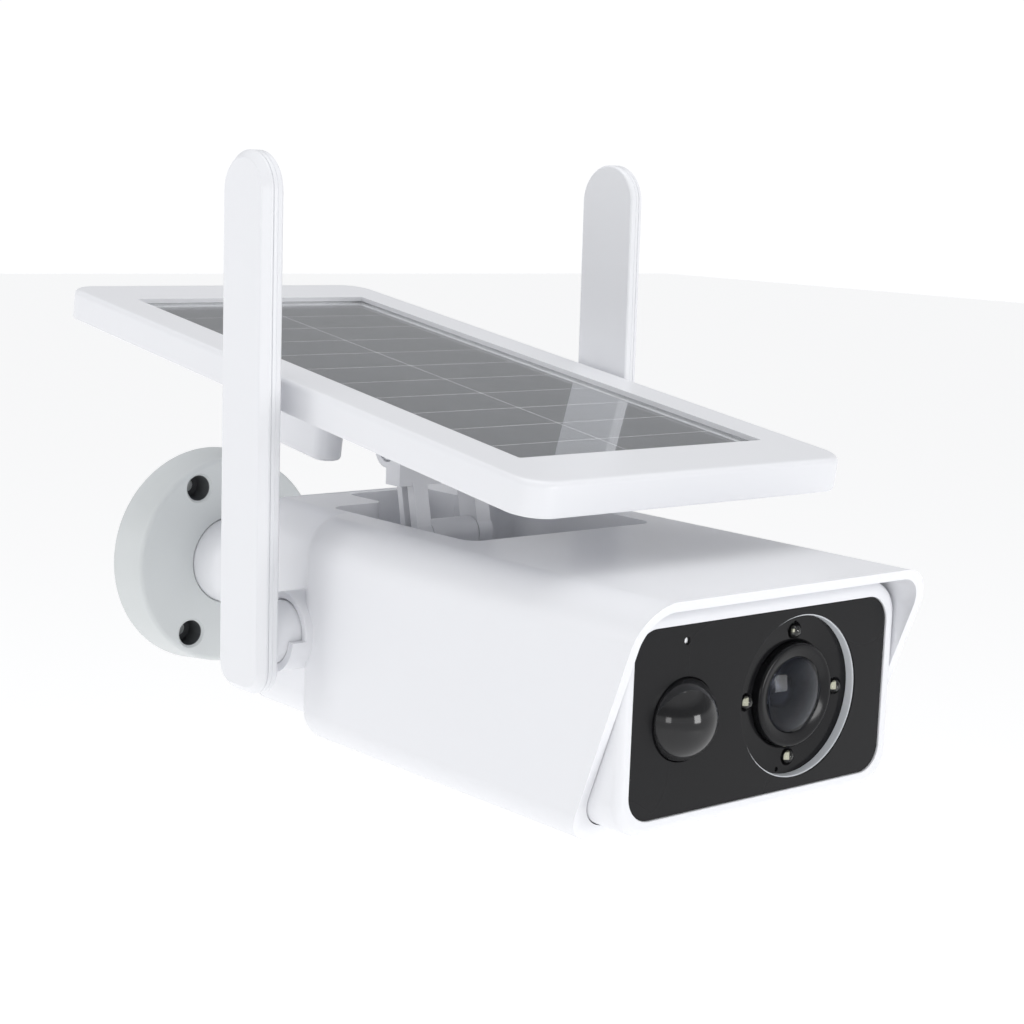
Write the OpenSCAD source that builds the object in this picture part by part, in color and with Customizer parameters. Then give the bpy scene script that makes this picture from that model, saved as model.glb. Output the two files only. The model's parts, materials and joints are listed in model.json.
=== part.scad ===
// Outdoor camera with a solar panel, two paddle antennas and a wall bracket.
// The wall is the plane Y = 0, the camera looks along -Y and +Z is up.
// The origin is the centre of the wall plate's back face, on the bracket's axis.

/* [Bracket] */
// Diameter of the wall plate
plate_d = 77.6; // [76:0.4:84]
// Depth of the wall plate
plate_t = 16; // [14:0.5:18]
// Diameter of the circle of the three wall screws
screw_circle_d = 60; // [58:0.5:61]
// Diameter of the wall screw holes
screw_hole_d = 4.6; // [3.5:0.1:5.2]
// Diameter of the swivelling dome
dome_d = 32; // [32:0.2:34]
// Distance from the wall to the pivot inside the dome
pivot_out = 25; // [24:0.5:27]
// Diameter of the neck
neck_d = 14; // [11:0.5:15]

/* [Camera body] */
// Distance from the wall to the black front plate
reach = 276; // [274:1:300]
// Height of the body's middle above the bracket's axis
body_rise = 3.5; // [0:0.5:5]
// Width of the outer shell
shell_w = 110; // [108:1:112]
// Height of the shell above the body's middle
shell_top = 34; // [33.6:0.2:35]
// Depth of the shell below the body's middle
shell_low = 33; // [32.8:0.2:34]
// Wall thickness of the mouldings
wall = 2.8; // [2.4:0.1:2.8]
// Length of the wide part of the shell
wide_l = 138; // [136:0.5:139]
// Whole length of the body behind the front plate
body_l = 175; // [174:0.5:180]
// Width of the narrow rear part
rear_w = 94; // [92:0.5:95]
// Forward lean of the hood's front edge, in mm per mm of height
hood_lean = 0.38; // [0.3:0.01:0.4]
// Width of the front bezel
bezel_w = 103.8; // [102:0.1:104]
// Height of the front bezel
bezel_h = 57.8; // [57:0.1:58]
// Width of the black front plate
window_w = 95.9; // [94:0.1:96]
// Height of the black front plate
window_h = 50; // [49:0.1:50]

/* [Optics] */
// Sideways place of the lens
lens_x = 14.24; // [12:0.02:15]
// Diameter of the round lens window
lens_window_d = 44.8; // [44:0.1:45]
// Sideways place of the motion sensor
pir_x = -29.3; // [-30:0.1:-28]
// Diameter of the motion sensor's dome
pir_d = 22; // [20:0.2:22.4]
// How far the dome stands out of the front plate
pir_out = 8; // [6:0.2:9]

/* [Solar panel] */
// Length of the panel, front to back
panel_l = 247; // [244:0.2:249]
// Width of the panel
panel_w = 121.5; // [116:0.5:124]
// Thickness of the panel's frame
panel_t = 10; // [9.6:0.1:12]
// Length of the glass that shows
glass_l = 201.5; // [196:0.5:202]
// Width of the glass that shows
glass_w = 92.4; // [90:0.2:93]
// Slope of the panel, with its front edge lower
panel_slope = 8.1; // [6:0.1:9]
// Rows of solar cells
cell_rows = 11; // [8:1:14]
// Columns of solar cells
cell_columns = 2; // [2:1:4]

/* [Antennas] */
// Length of an antenna paddle
paddle_l = 157.5; // [120:0.5:170]
// Width of an antenna paddle
paddle_w = 23.5; // [20:0.5:24]
// Thickness of an antenna paddle
paddle_t = 6.5; // [6:0.1:8]
// Sideways place of the paddles' inner faces
paddle_x = 67; // [66:0.5:70]
// How far a paddle reaches below its pivot
paddle_below = 16.5; // [14:0.5:17]

/* [Hidden] */
$fn = 72;

white = [0.93, 0.94, 0.95];
black = [0.06, 0.06, 0.07];
steel = [0.7, 0.72, 0.74];
board = [0.1, 0.35, 0.2];

// Clearance of a turning fit, on the radius
fit = 0.05;
// Gap between moving faces that are not a fit
gap = 0.3;

// Bracket
plate_r = plate_d / 2;
counterbore_r = 4.55;
plate_front_r = plate_r - 1.7;
plate_edge_r = 1.8;
plate_wall = 3.2;
rim_wall = 1.9;
screw_post_r = counterbore_r + 2;
screw_seat = 9 - plate_t;
hub_r = 28;
seat_r = 25;
flange_r = 20;
flange_t = 3;
collar_t = 2.8;
ring_t = 2.5;
ring_y = collar_t + flange_t + 0.4 - plate_t;
cord_way_r = 8;
clamp_screw_r = 1.3;
clamp_screw_tip = 1.7 - plate_t;
screw_angles = [for (i = [0:2]) i * 120 - 2.9];
dome_r = dome_d / 2;
slot_w = 8.6;
tongue_w = 8;
tongue_r = 7.5;
tilt_up = 2;
tilt_down = 45;
pivot_r = 2.5;
pivot_end = 12.5;
pivot_head = 12;
stud_r = 3;
boss_out = 4;
nut_t = 4.4;
nut_r = 9;
nut_y = body_l + boss_out + gap - reach;
neck_front = nut_y + nut_t + gap;
stud_end = neck_front + 16;

// Body, in its own frame: Y = 0 is the front plate, Z = 0 the body's middle
corner_top = 12;
corner_low = 9;
hood_mid = 2.4;
half_w = shell_w / 2;
rear_half = rear_w / 2;
rear_low = shell_low - 2;
cap_t = 3;
core_y = 6;
core_l = 133;
core_step_y = 77;
core_step_z = 13;
core_wall = 2.2;
core_corner = 9.5;
core_low = -bezel_h / 2;
core_floor = core_low + core_wall;
plate_thick = 2;
window_corner = 7.3;
lip = 0.5;
axis_z = -body_rise;
lens_z = 0.36;
dish_y = 3;
led_circle_r = 17.4;
led_r = 1.8;
barrel_r = 14.4;
lens_r = 10.2;
mic_z = 20.6;

// Screws of the rear cap, in bosses of the shell
rear_screw_x = 36;
rear_screw_z = 20;
rear_boss_r = 3.5;
rear_boss_back = 167.8;

// Recess in the top, with a channel behind it
recess_half = 35.5;
recess_front = 81;
recess_back = 150;
channel_half = 15;
channel_back = 169;
recess_floor = 17;
tub_wall = 2;

// Panel arm: it leans back from its foot to the tilt barrels
fold_y = 136.4;
fold_z = 25;
fold_pin_r = 1.8;
base_t = 2;
base_screw_r = 1.1;
arm_lean = 0.217;
arm_depth = 8.5;
arm_in = 9;
arm_out = 14.5;
eye_r = 5;
tilt_y = 143;
tilt_z = 52;
tilt_bolt_r = 2;
barrel_eye_r = 6;
block_half = 19.5;
block_y = 136;
block_z = 41;
tongue_half = 8.7;
panel_y = 150;
panel_z = 66.75;
bracket_t = 3;
bracket_screw_r = 1.5;
bracket_screw_l = 2.6;

// Panel: glass under the frame's lip, with the cells behind it
panel_corner = 12;
frame_lip = 1.6;
pocket_w = glass_w + 3.6;
pocket_l = glass_l + 3.6;
glass_z = panel_t - frame_lip;
cell_gap = 0.9;
cell_margin = 2.2;
cell_w = (glass_w - 2 * cell_margin + cell_gap) / cell_columns - cell_gap;
cell_l = (glass_l - 2 * cell_margin + cell_gap) / cell_rows - cell_gap;
cell_top = glass_z - 2;
cell_t = 0.4;

// Junction box under the panel
box_x = -29;
box_y = 27.5;
box_w = 10;
box_l = 46;
box_deep = 21;

// Antennas
antenna_y = 141;
antenna_lean = 0.65;
antenna_z = -0.5;
boss_r = 11.8;
boss_x = 57.5;
stop_x = 62;
stop_drop = 1.2;
hub_turn_r = 9.35;
hub_end = 54.4;
hub_screw_r = 1.5;
hub_screw_l = 6;

// Port bay in the bottom
bay_half = 20;
bay_front = 22;
bay_back = 38;
pin_y = 38.6;
pin_z = 1.2 - shell_low;
port_y = 30;
port_z = -20.8;
button_r = 2.2;
power_x = 5;
reset_r = 1.3;
reset_x = 13;

// Circuit boards, speaker and battery cells
board_t = 1.6;
chip_z = 7.6;
speaker_x = 31.5;
speaker_y = 100;
speaker_r = 10.8;
cell_r = 9.2;
cell_x = cell_r + 0.8;
cell_z = core_floor + cell_r + 1.2;
cell_front = 49;
cell_long = 64;

module at_body() {
    translate([0, -reach, body_rise]) children();
}

module at_panel() {
    at_body() translate([0, panel_y, panel_z]) rotate([panel_slope, 0, 0]) children();
}

module along_y(y0, y1) {
    translate([0, y1, 0]) rotate([90, 0, 0]) linear_extrude(y1 - y0) children();
}

module along_x(x0, x1) {
    translate([x0, 0, 0]) rotate([90, 0, 90]) linear_extrude(x1 - x0) children();
}

module rod_x(r, x0, x1, y = 0, z = 0) {
    translate([x0, y, z]) rotate([0, 90, 0]) cylinder(r = r, h = x1 - x0);
}

module rod_y(r, y0, y1, x = 0, z = 0) {
    translate([x, y1, z]) rotate([90, 0, 0]) cylinder(r = r, h = y1 - y0);
}

module rod_z(r, z0, z1, x = 0, y = 0) {
    translate([x, y, z0]) cylinder(r = r, h = z1 - z0);
}

module box(x0, x1, y0, y1, z0, z1) {
    translate([x0, y0, z0]) cube([x1 - x0, y1 - y0, z1 - z0]);
}

// Turns a profile of [radius, y] points about the Y axis
module turned(points) {
    rotate([-90, 0, 0]) rotate_extrude() polygon(points);
}

module mirrored() {
    children();
    mirror([1, 0, 0]) children();
}

module rounded_rect(w, h, r) {
    square([w - 2 * r, h], center = true);
    square([w, h - 2 * r], center = true);
    for (x = [-1, 1], y = [-1, 1])
        translate([x * (w / 2 - r), y * (h / 2 - r)]) circle(r);
}

// Cross-section with one corner radius above and another below
module body_section(half, top, low, inset) {
    r_top = corner_top - inset;
    r_low = corner_low - inset;
    x_top = half - corner_top;
    x_low = half - corner_low;
    polygon([[-x_top, top - inset], [x_top, top - inset], [x_top, inset - low], [-x_top, inset - low]]);
    polygon([[-x_low, 0], [x_low, 0], [x_low, inset - low], [-x_low, inset - low]]);
    polygon([[inset - half, top - corner_top], [half - inset, top - corner_top],
        [half - inset, corner_low - low], [inset - half, corner_low - low]]);
    for (s = [-1, 1]) {
        translate([s * x_top, top - corner_top]) circle(r_top);
        translate([s * x_low, corner_low - low]) circle(r_low);
    }
}

// ---------- bracket ----------

module wall_screw_places(r) {
    for (a = screw_angles) rotate([0, -a, 0]) translate([r, 0, 0]) children();
}

module wall_plate() {
    edge_y = plate_edge_r - plate_t;
    color("gainsboro") difference() {
        union() {
            difference() {
                union() {
                    turned([[0, edge_y], [plate_front_r, edge_y], [plate_r, 0], [0, 0]]);
                    rod_y(plate_front_r - plate_edge_r, -plate_t, 0);
                    translate([0, edge_y, 0]) rotate([90, 0, 0])
                        rotate_extrude() translate([plate_front_r - plate_edge_r, 0]) circle(plate_edge_r);
                }
                difference() {
                    rod_y(plate_front_r - rim_wall, plate_wall - plate_t, 1);
                    rod_y(hub_r, -plate_t, 2);
                }
            }
            wall_screw_places(screw_circle_d / 2) rod_y(screw_post_r, 1 - plate_t, 0);
        }
        rod_y(dome_r + fit, -plate_t - 1, 1);
        rod_y(flange_r + gap, collar_t - plate_t, 1);
        rod_y(seat_r, ring_y, 1);
        wall_screw_places(screw_circle_d / 2) {
            rod_y(screw_hole_d / 2, -plate_t - 1, 1);
            rod_y(counterbore_r, -plate_t - 1, screw_seat);
        }
        clamp_screw_places() rod_y(clamp_screw_r, clamp_screw_tip, 1);
    }
}

module clamp_screw_places() {
    for (i = [0:2]) rotate([0, i * 120 + 60, 0]) translate([(flange_r + seat_r) / 2, 0, 0]) children();
}

module clamp_ring() {
    color("silver") difference() {
        rod_y(seat_r - 0.2, ring_y, ring_y + ring_t);
        rod_y(cord_way_r, ring_y - 1, ring_y + ring_t + 1);
        clamp_screw_places() rod_y(clamp_screw_r, ring_y - 1, ring_y + ring_t + 1);
    }
}

module clamp_screws() {
    color(steel) clamp_screw_places() {
        head_y = ring_y + ring_t;
        rod_y(clamp_screw_r, clamp_screw_tip, head_y);
        difference() {
            rod_y(2.4, head_y, head_y + 1.6);
            box(-2, 2, head_y + 0.8, head_y + 2, -0.3, 0.3);
        }
    }
}

// Space that the neck's tongue sweeps, in the Y-Z plane about the pivot
module tongue_sweep() {
    up = [-sin(-tilt_up), cos(-tilt_up)] * (tongue_r + 0.6);
    down = [sin(tilt_down), -cos(tilt_down)] * (tongue_r + 0.6);
    far = 30;
    rim = [for (t = [-tilt_up:5:tilt_down]) [-cos(t), -sin(t)] * far * 1.2];
    polygon(concat(
        [up, up + [-cos(-tilt_up), -sin(-tilt_up)] * far], rim,
        [down + [-cos(tilt_down), -sin(tilt_down)] * far, down, [0, 0]]));
    circle(tongue_r + 0.9);
}

module swivel_dome() {
    color(white) difference() {
        translate([0, -pivot_out, 0]) union() {
            difference() {
                sphere(dome_r);
                box(-40, 40, 0, 40, -40, 40);
            }
            rod_y(dome_r, 0, pivot_out + collar_t - plate_t + 0.2);
            rod_y(flange_r, pivot_out + collar_t - plate_t + 0.2, pivot_out + collar_t - plate_t + 0.2 + flange_t);
        }
        translate([0, -pivot_out, 0]) {
            along_x(-slot_w / 2, slot_w / 2) tongue_sweep();
            rod_x(pivot_r, -pivot_end, 30);
            rod_x(pivot_r + 2, pivot_head, 30);
        }
    }
}

module pivot_bolt() {
    color(steel) translate([0, -pivot_out, 0]) difference() {
        union() {
            rod_x(pivot_r, 0.3 - pivot_end, pivot_head + 1);
            rod_x(pivot_r + 1.8, pivot_head, pivot_head + 2.8);
        }
        translate([pivot_head + 1, 0, 0]) rotate([0, 90, 0]) cylinder(r = 1.7, h = 4, $fn = 6);
    }
}

module neck_arm() {
    color(white) difference() {
        union() {
            turned([[0, neck_front], [9, neck_front], [9.4, neck_front + 1], [9.4, neck_front + 4],
                [neck_d / 2, neck_front + 10], [neck_d / 2, -pivot_out - 22],
                [neck_d / 2 - 1.5, -pivot_out - 19], [0, -pivot_out - 19]]);
            box(-tongue_w / 2, tongue_w / 2, -pivot_out - 20, -pivot_out,
                2 - tongue_r, tongue_r - 2);
            rod_x(tongue_r, -tongue_w / 2, tongue_w / 2, -pivot_out);
        }
        rod_x(pivot_r + fit, -10, 10, -pivot_out);
        rod_y(stud_r, neck_front - 1, stud_end);
    }
}

module neck_stud() {
    color(steel) rod_y(stud_r, body_l - 8 - reach, stud_end);
}

module jam_nut() {
    color(steel) difference() {
        rod_y(nut_r, nut_y, nut_y + nut_t);
        rod_y(stud_r, nut_y - 1, nut_y + nut_t + 1);
        for (a = [0:15:345]) rotate([0, a, 0]) rod_y(0.6, nut_y - 1, nut_y + nut_t + 1, x = nut_r + 0.2);
    }
}

// ---------- outer shell and housings ----------

module hood_cut() {
    far = 70;
    along_x(-80, 80) polygon([[-far, -far], [hood_mid + hood_lean * far, -far],
        [hood_mid - hood_lean * far, far], [-far, far]]);
}

module recess(grow, z0, z1) {
    box(-recess_half - grow, recess_half + grow, recess_front - grow, recess_back + grow, z0, z1);
    box(-channel_half - grow, channel_half + grow, recess_back - 1, channel_back + grow, z0, z1);
}

module cover_lug() {
    box(15.4, 18.4, pin_y - 1.4, pin_y + 1.4, -shell_low, 0.4 + wall - shell_low);
}

// Round boss of an antenna, with a stop that stands out below and ahead of the hub
module antenna_boss() {
    rod_x(boss_r, rear_half - wall - 2, boss_x, antenna_y, antenna_z);
    intersection() {
        rod_x(boss_r, boss_x - 1, stop_x, antenna_y, antenna_z);
        box(0, stop_x + 1, antenna_y - boss_r - 1, antenna_y,
            antenna_z - boss_r - 1, antenna_z - stop_drop);
    }
}

module outer_shell() {
    color(white) at_body() difference() {
        union() {
            difference() {
                union() {
                    along_y(-20, wide_l) body_section(half_w, shell_top, shell_low, 0);
                    along_y(wide_l - 1, body_l - cap_t) body_section(rear_half, shell_top, rear_low, 0);
                    mirrored() antenna_boss();
                }
                along_y(-30, wide_l - wall) body_section(half_w, shell_top, shell_low, wall);
                difference() {
                    along_y(wide_l - wall - 1, body_l) body_section(rear_half, shell_top, rear_low, wall);
                    mirrored() rod_x(boss_r - 4, rear_half - wall - 2, boss_x, antenna_y, antenna_z);
                }
            }
            recess(tub_wall, recess_floor - tub_wall, shell_top - 1);
            for (x = [-1, 1], z = [-1, 1]) {
                rod_y(rear_boss_r, 155, rear_boss_back, x * rear_screw_x, z * rear_screw_z);
                box(min(x * rear_screw_x, x * (rear_half - 1)), max(x * rear_screw_x, x * (rear_half - 1)),
                    155, rear_boss_back, z * rear_screw_z - 1.2, z * rear_screw_z + 1.2);
            }
        }
        rear_screw_places() rod_y(1.5, 158, body_l);
        recess(0, recess_floor, shell_top + 1);
        hood_cut();
        mirrored() {
            rod_x(hub_turn_r + fit, hub_end - 0.1, stop_x + 1, antenna_y, antenna_z);
            rod_x(hub_screw_r + 0.1, 30, hub_end, antenna_y, antenna_z);
            rod_x(3.8, 38, hub_end - 3.8, antenna_y, antenna_z);
        }
        difference() {
            union() {
                along_z(-shell_low - 1, wall - shell_low + 1)
                    translate([0, (bay_front + bay_back) / 2])
                        rounded_rect(2 * bay_half, bay_back - bay_front, 2);
                box(-18.4, 18.4, bay_back - 2, pin_y + 1.6, -shell_low - 1, wall - shell_low + 1);
            }
            mirrored() cover_lug();
        }
        rod_x(0.6, -18, 18, pin_y, pin_z);
        base_screw_places() rod_z(base_screw_r, recess_floor - tub_wall - 1, recess_floor + 1);
    }
}

module along_z(z0, z1) {
    translate([0, 0, z0]) linear_extrude(z1 - z0) children();
}

module core_section(inset) {
    rounded_rect(bezel_w - 2 * inset, bezel_h - 2 * inset, core_corner - inset);
}

module core_housing() {
    color(white) at_body() difference() {
        along_y(core_y, core_l) core_section(0);
        difference() {
            along_y(core_y - 1, core_l - core_wall) core_section(core_wall);
            box(-60, 60, core_step_y - core_wall, core_l, core_step_z - core_wall, 60);
        }
        box(-60, 60, core_step_y, core_l + 1, core_step_z, 60);
        box(-bay_half + 1, bay_half - 1, bay_front + 1, bay_back - 1, -40, -20);
    }
}

module rear_screw_places() {
    for (x = [-1, 1], z = [-1, 1]) translate([x * rear_screw_x, 0, z * rear_screw_z]) children();
}

module rear_cap() {
    color(white) at_body() difference() {
        union() {
            along_y(body_l - cap_t, body_l) body_section(rear_half, shell_top, rear_low, 0);
            difference() {
                along_y(body_l - cap_t - 4, body_l - 1) body_section(rear_half - 0.2, shell_top - 0.2, rear_low - 0.2, wall);
                along_y(body_l - cap_t - 5, body_l - cap_t) body_section(rear_half - 0.2, shell_top - 0.2, rear_low - 0.2, wall + 2);
                recess(tub_wall + 0.2, recess_floor - tub_wall - 0.2, shell_top - wall + 1);
            }
            rod_y(9, body_l - 15, body_l + boss_out, 0, axis_z);
        }
        rod_y(5, body_l - 16, body_l + boss_out + 1, 0, axis_z);
        rear_screw_places() {
            rod_y(1.5, body_l - 6, body_l + 1);
            rod_y(3, body_l - 1.6, body_l + 1);
        }
    }
}

module rear_screws() {
    color(steel) at_body() rear_screw_places() difference() {
        union() {
            rod_y(1.5, body_l - 16, body_l - 1);
            rod_y(2.8, body_l - 1.6, body_l - 0.3);
        }
        box(-1.8, 1.8, body_l - 1, body_l, -0.35, 0.35);
        box(-0.35, 0.35, body_l - 1, body_l, -1.8, 1.8);
    }
}

module stud_insert() {
    color("goldenrod") at_body() translate([0, 0, axis_z]) difference() {
        rod_y(5, body_l - 13, body_l + boss_out);
        rod_y(stud_r + fit, body_l - 14, body_l + boss_out + 1);
    }
}

// ---------- front ----------

module window_section(inset) {
    rounded_rect(window_w - 2 * inset, window_h - 2 * inset, window_corner - inset);
}

module front_bezel() {
    ledge = plate_thick;
    color(white) at_body() difference() {
        union() {
            along_y(-lip, core_y) core_section(0);
            along_y(core_y - 1, core_y + 4) core_section(core_wall + 0.2);
        }
        along_y(-lip - 1, ledge) window_section(0);
        along_y(ledge - 1, core_y + 5) window_section(ledge);
    }
}

module front_plate() {
    color(black) at_body() difference() {
        along_y(0, plate_thick) window_section(0.15);
        rod_y(lens_window_d / 2, -1, plate_thick + 1, lens_x, lens_z);
        rod_y(pir_d / 2 + 0.2, -1, plate_thick + 1, pir_x, 0);
        rod_y(0.8, -1, plate_thick + 1, pir_x, mic_z);
    }
}

module at_lens() {
    at_body() translate([lens_x, 0, lens_z]) children();
}

module lens_ring() {
    color(white) at_lens() difference() {
        rod_y(lens_window_d / 2, 0.3, dish_y);
        rod_y(lens_window_d / 2 - 0.5, 0, dish_y + 1);
    }
}

module led_places() {
    for (a = [0:90:270]) rotate([0, a, 0]) translate([led_circle_r, 0, 0]) children();
}

module lens_dish() {
    color(black) at_lens() difference() {
        rod_y(lens_window_d / 2, dish_y, dish_y + 1.6);
        rod_y(barrel_r + 0.1, 0, 10);
        led_places() rod_y(led_r + 0.2, 0, 10);
        rod_y(0.9, 0, 10, 0, led_circle_r + 2.6);
    }
}

module lens_barrel() {
    color(black) at_lens() turned([[lens_r, 1.1], [barrel_r - 0.6, 1.7], [barrel_r, 2.2], [barrel_r, 7],
        [11, 7], [11, 22], [8.6, 22], [8.6, 5.2], [lens_r, 5.2]]);
}

// Lens with a domed front of the given rise
module domed_lens(r, y, thick, rise) {
    dome = [for (k = [1:-0.125:0]) [r * k, y + rise * k * k]];
    turned(concat([[0, y + thick], [r, y + thick]], dome));
}

module front_lens() {
    color("lightsteelblue", 0.5) at_lens() domed_lens(lens_r, 1.4, 3.8, 1.8);
}

module rear_lenses() {
    color("lightsteelblue", 0.5) at_lens() for (y = [7.5, 12.5, 17.5]) domed_lens(8.6, y, 2.6, 1.2);
}

module lens_holder() {
    color(black) at_lens() difference() {
        box(-13, 13, 22, 27.6, -13, 13);
        box(-8, 8, 21, 29, -8, 8);
    }
}

module sensor_board() {
    color(board) at_lens() {
        box(-18, 18, 27.6, 29.2, -18, 18);
        box(-4.5, 4.5, 26.2, 27.6, -3.5, 3.5);
    }
}

module led_lamps() {
    color("silver") at_lens() led_places() {
        rod_y(led_r, dish_y + 1.2, dish_y + 4.4);
        intersection() {
            translate([0, dish_y + 1.6, 0]) sphere(led_r);
            rod_y(led_r, dish_y - 1, dish_y + 1.6);
        }
    }
}

module led_board() {
    color(board) at_lens() difference() {
        rod_y(21, dish_y + 4.4, dish_y + 5.8);
        rod_y(barrel_r + 0.4, 0, 20);
    }
}

module pir_cap(r, rise) {
    ball = (r * r + rise * rise) / (2 * rise);
    intersection() {
        rod_y(r, -rise - 1, plate_thick);
        union() {
            translate([0, ball - rise, 0]) sphere(ball);
            rod_y(r, 0, plate_thick);
        }
    }
}

module pir_lens() {
    color("dimgray") at_body() translate([pir_x, 0, 0]) difference() {
        union() {
            pir_cap(pir_d / 2, pir_out);
            rod_y(pir_d / 2 + 0.9, plate_thick, plate_thick + 1.2);
        }
        pir_cap(pir_d / 2 - 1, pir_out - 1);
        rod_y(pir_d / 2 - 1, plate_thick - 0.5, plate_thick + 2);
    }
}

module pir_sensor() {
    color(steel) at_body() translate([pir_x, 0, 0]) difference() {
        union() {
            rod_y(4.1, 3.4, 7.6);
            rod_y(4.6, 7, 7.6);
            rod_y(9, 7.6, 9.2);
        }
        box(-2, 2, 3, 3.8, -1.5, 1.5);
    }
}

module microphone() {
    color("gray") at_body() difference() {
        rod_y(2.4, plate_thick + 0.05, plate_thick + 4, pir_x, mic_z);
        rod_y(0.8, plate_thick - 1, plate_thick + 1, pir_x, mic_z);
    }
}

// ---------- electronics and battery ----------

module main_board() {
    color(board) at_body() {
        box(-46, 46, 34, 74, chip_z - board_t, chip_z);
        box(-24, -8, 42, 58, chip_z, chip_z + 1.6);
        box(12, 28, 44, 60, chip_z, chip_z + 2.4);
        box(-40, -30, 60, 70, chip_z, chip_z + 4.4);
    }
}

module speaker() {
    color("dimgray") at_body() translate([speaker_x, speaker_y, core_floor]) difference() {
        cylinder(r = speaker_r, h = 5.7);
        translate([0, 0, -1]) cylinder(r = speaker_r - 2.5, h = 2.7);
    }
}

module battery_cells() {
    color("mediumseagreen") at_body() for (x = [-1, 1]) {
        rod_y(cell_r, cell_front, cell_front + cell_long, x * cell_x, cell_z);
        rod_y(3, cell_front - 1, cell_front, x * cell_x, cell_z);
    }
}

module battery_tray() {
    w = 2 * cell_r + 2;
    back = cell_front + cell_long;
    color(black) at_body() difference() {
        box(-w, w, cell_front - 3, back + 2, core_floor, cell_z);
        for (x = [-1, 1]) rod_y(cell_r + 0.2, cell_front - 1, back + 0.2, x * cell_x, cell_z);
    }
}

// ---------- port bay ----------

module port_board() {
    color(board) at_body() box(-22, 22, 19, 41, port_z, port_z + board_t);
}

module port_plate() {
    color("dimgray") at_body() difference() {
        box(0.2 - bay_half + 1, bay_half - 1.2, bay_front + 1.2, bay_back - 1.2, core_low, core_floor);
        rod_z(button_r + fit, -40, 0, power_x, port_y);
        rod_z(reset_r + fit, -40, 0, reset_x, port_y);
        box(-17.2, -8, 28, 32, -40, 0);
        box(-5.1, -1.9, 24.4, 35.6, -40, 0);
    }
}

module usb_socket() {
    color(steel) at_body() difference() {
        box(-17, -8.2, 28.2, 31.8, core_low, port_z);
        box(-16.4, -8.8, 28.8, 31.2, core_low - 1, -22);
    }
}

module card_slot() {
    color(steel) at_body() difference() {
        box(-4.9, -2.1, 24.6, 35.4, core_low, port_z);
        box(-4.1, -2.9, 25.4, 34.6, core_low - 1, -22);
    }
}

module push_button(r, x) {
    rod_z(r, core_low - 1, port_z - 1.8, x, port_y);
    rod_z(r + 0.9, core_floor + 0.1, core_floor + 1.1, x, port_y);
}

module power_button() {
    color("dimgray") at_body() push_button(button_r, power_x);
}

module reset_button() {
    color("tomato") at_body() push_button(reset_r, reset_x);
}

module port_cover() {
    color(white) at_body() difference() {
        union() {
            along_z(-shell_low, 2 - shell_low) translate([0, (bay_front + bay_back - 2) / 2])
                rounded_rect(2 * bay_half - 0.6, bay_back - bay_front - 2.6, 1.8);
            box(-15, 15, bay_back - 3, pin_y, -shell_low, 2 - shell_low);
            rod_x(1.2, -15, 15, pin_y, pin_z);
        }
        rod_x(0.6 + fit, -16, 16, pin_y, pin_z);
    }
}

module cover_pin() {
    color(steel) at_body() rod_x(0.6, -18, 18, pin_y, pin_z);
}

// ---------- panel arm ----------

module base_screw_places() {
    for (x = [-8, 8], y = [-9, 9]) translate([x, fold_y + y, 0]) children();
}

module arm_base() {
    color(white) at_body() difference() {
        union() {
            box(-17, 17, fold_y - 12.4, fold_y + 12.4, recess_floor, recess_floor + base_t);
            box(-tongue_half, tongue_half, fold_y - eye_r, fold_y + eye_r, recess_floor, fold_z);
            rod_x(eye_r, -tongue_half, tongue_half, fold_y, fold_z);
        }
        rod_x(fold_pin_r, -20, 20, fold_y, fold_z);
        base_screw_places() rod_z(base_screw_r, 0, 40);
    }
}

module arm_base_screws() {
    color(steel) at_body() base_screw_places() {
        rod_z(base_screw_r, recess_floor - 3, recess_floor + base_t);
        rod_z(2.2, recess_floor + base_t, recess_floor + base_t + 1.2);
    }
}

module arm_pin() {
    color(steel) at_body() rod_x(fold_pin_r, -arm_out, arm_out, fold_y, fold_z);
}

function arm_mid(z) = fold_y + arm_lean * (z - fold_z);

module arm_side(half, z0, z1) {
    polygon([[arm_mid(z0) - half, z0], [arm_mid(z0) + half, z0],
        [arm_mid(z1) + half, z1], [arm_mid(z1) - half, z1]]);
}

module panel_arm() {
    color(white) at_body() difference() {
        union() {
            mirrored() {
                rod_x(eye_r, arm_in, arm_out, fold_y, fold_z);
                along_x(arm_in, arm_out) arm_side(arm_depth / 2, fold_z, tilt_z);
                rod_x(barrel_eye_r, arm_in, block_half, tilt_y, tilt_z);
                box(arm_in, block_half, block_y, tilt_y, block_z, tilt_z);
            }
            box(-block_half, block_half, block_y, block_y + 6.3, block_z, tilt_z - barrel_eye_r - 0.4);
        }
        mirrored() along_x(arm_out - 2.4, arm_out + 1) translate([0.4, 0]) arm_side(1.45, fold_z + 5.4, block_z - 0.6);
        rod_x(fold_pin_r + fit, -20, 20, fold_y, fold_z);
        rod_x(tilt_bolt_r, -30, 30, tilt_y, tilt_z);
        mirrored() rod_x(4.1, block_half - 3, block_half + 1, tilt_y, tilt_z);
    }
}

module tilt_bolt() {
    color(steel) at_body() difference() {
        union() {
            rod_x(tilt_bolt_r, -block_half + 1, block_half - 0.4, tilt_y, tilt_z);
            rod_x(4, -block_half + 0.2, -block_half + 3, tilt_y, tilt_z);
        }
        box(-block_half, -block_half + 1.4, tilt_y - 3, tilt_y + 3, tilt_z - 0.5, tilt_z + 0.5);
    }
}

module tilt_nut() {
    color(steel) at_body() difference() {
        translate([block_half - 3, tilt_y, tilt_z]) rotate([0, 90, 0]) cylinder(r = 4, h = 2.4, $fn = 6);
        rod_x(tilt_bolt_r, 0, 30, tilt_y, tilt_z);
    }
}

// ---------- solar panel ----------

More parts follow.
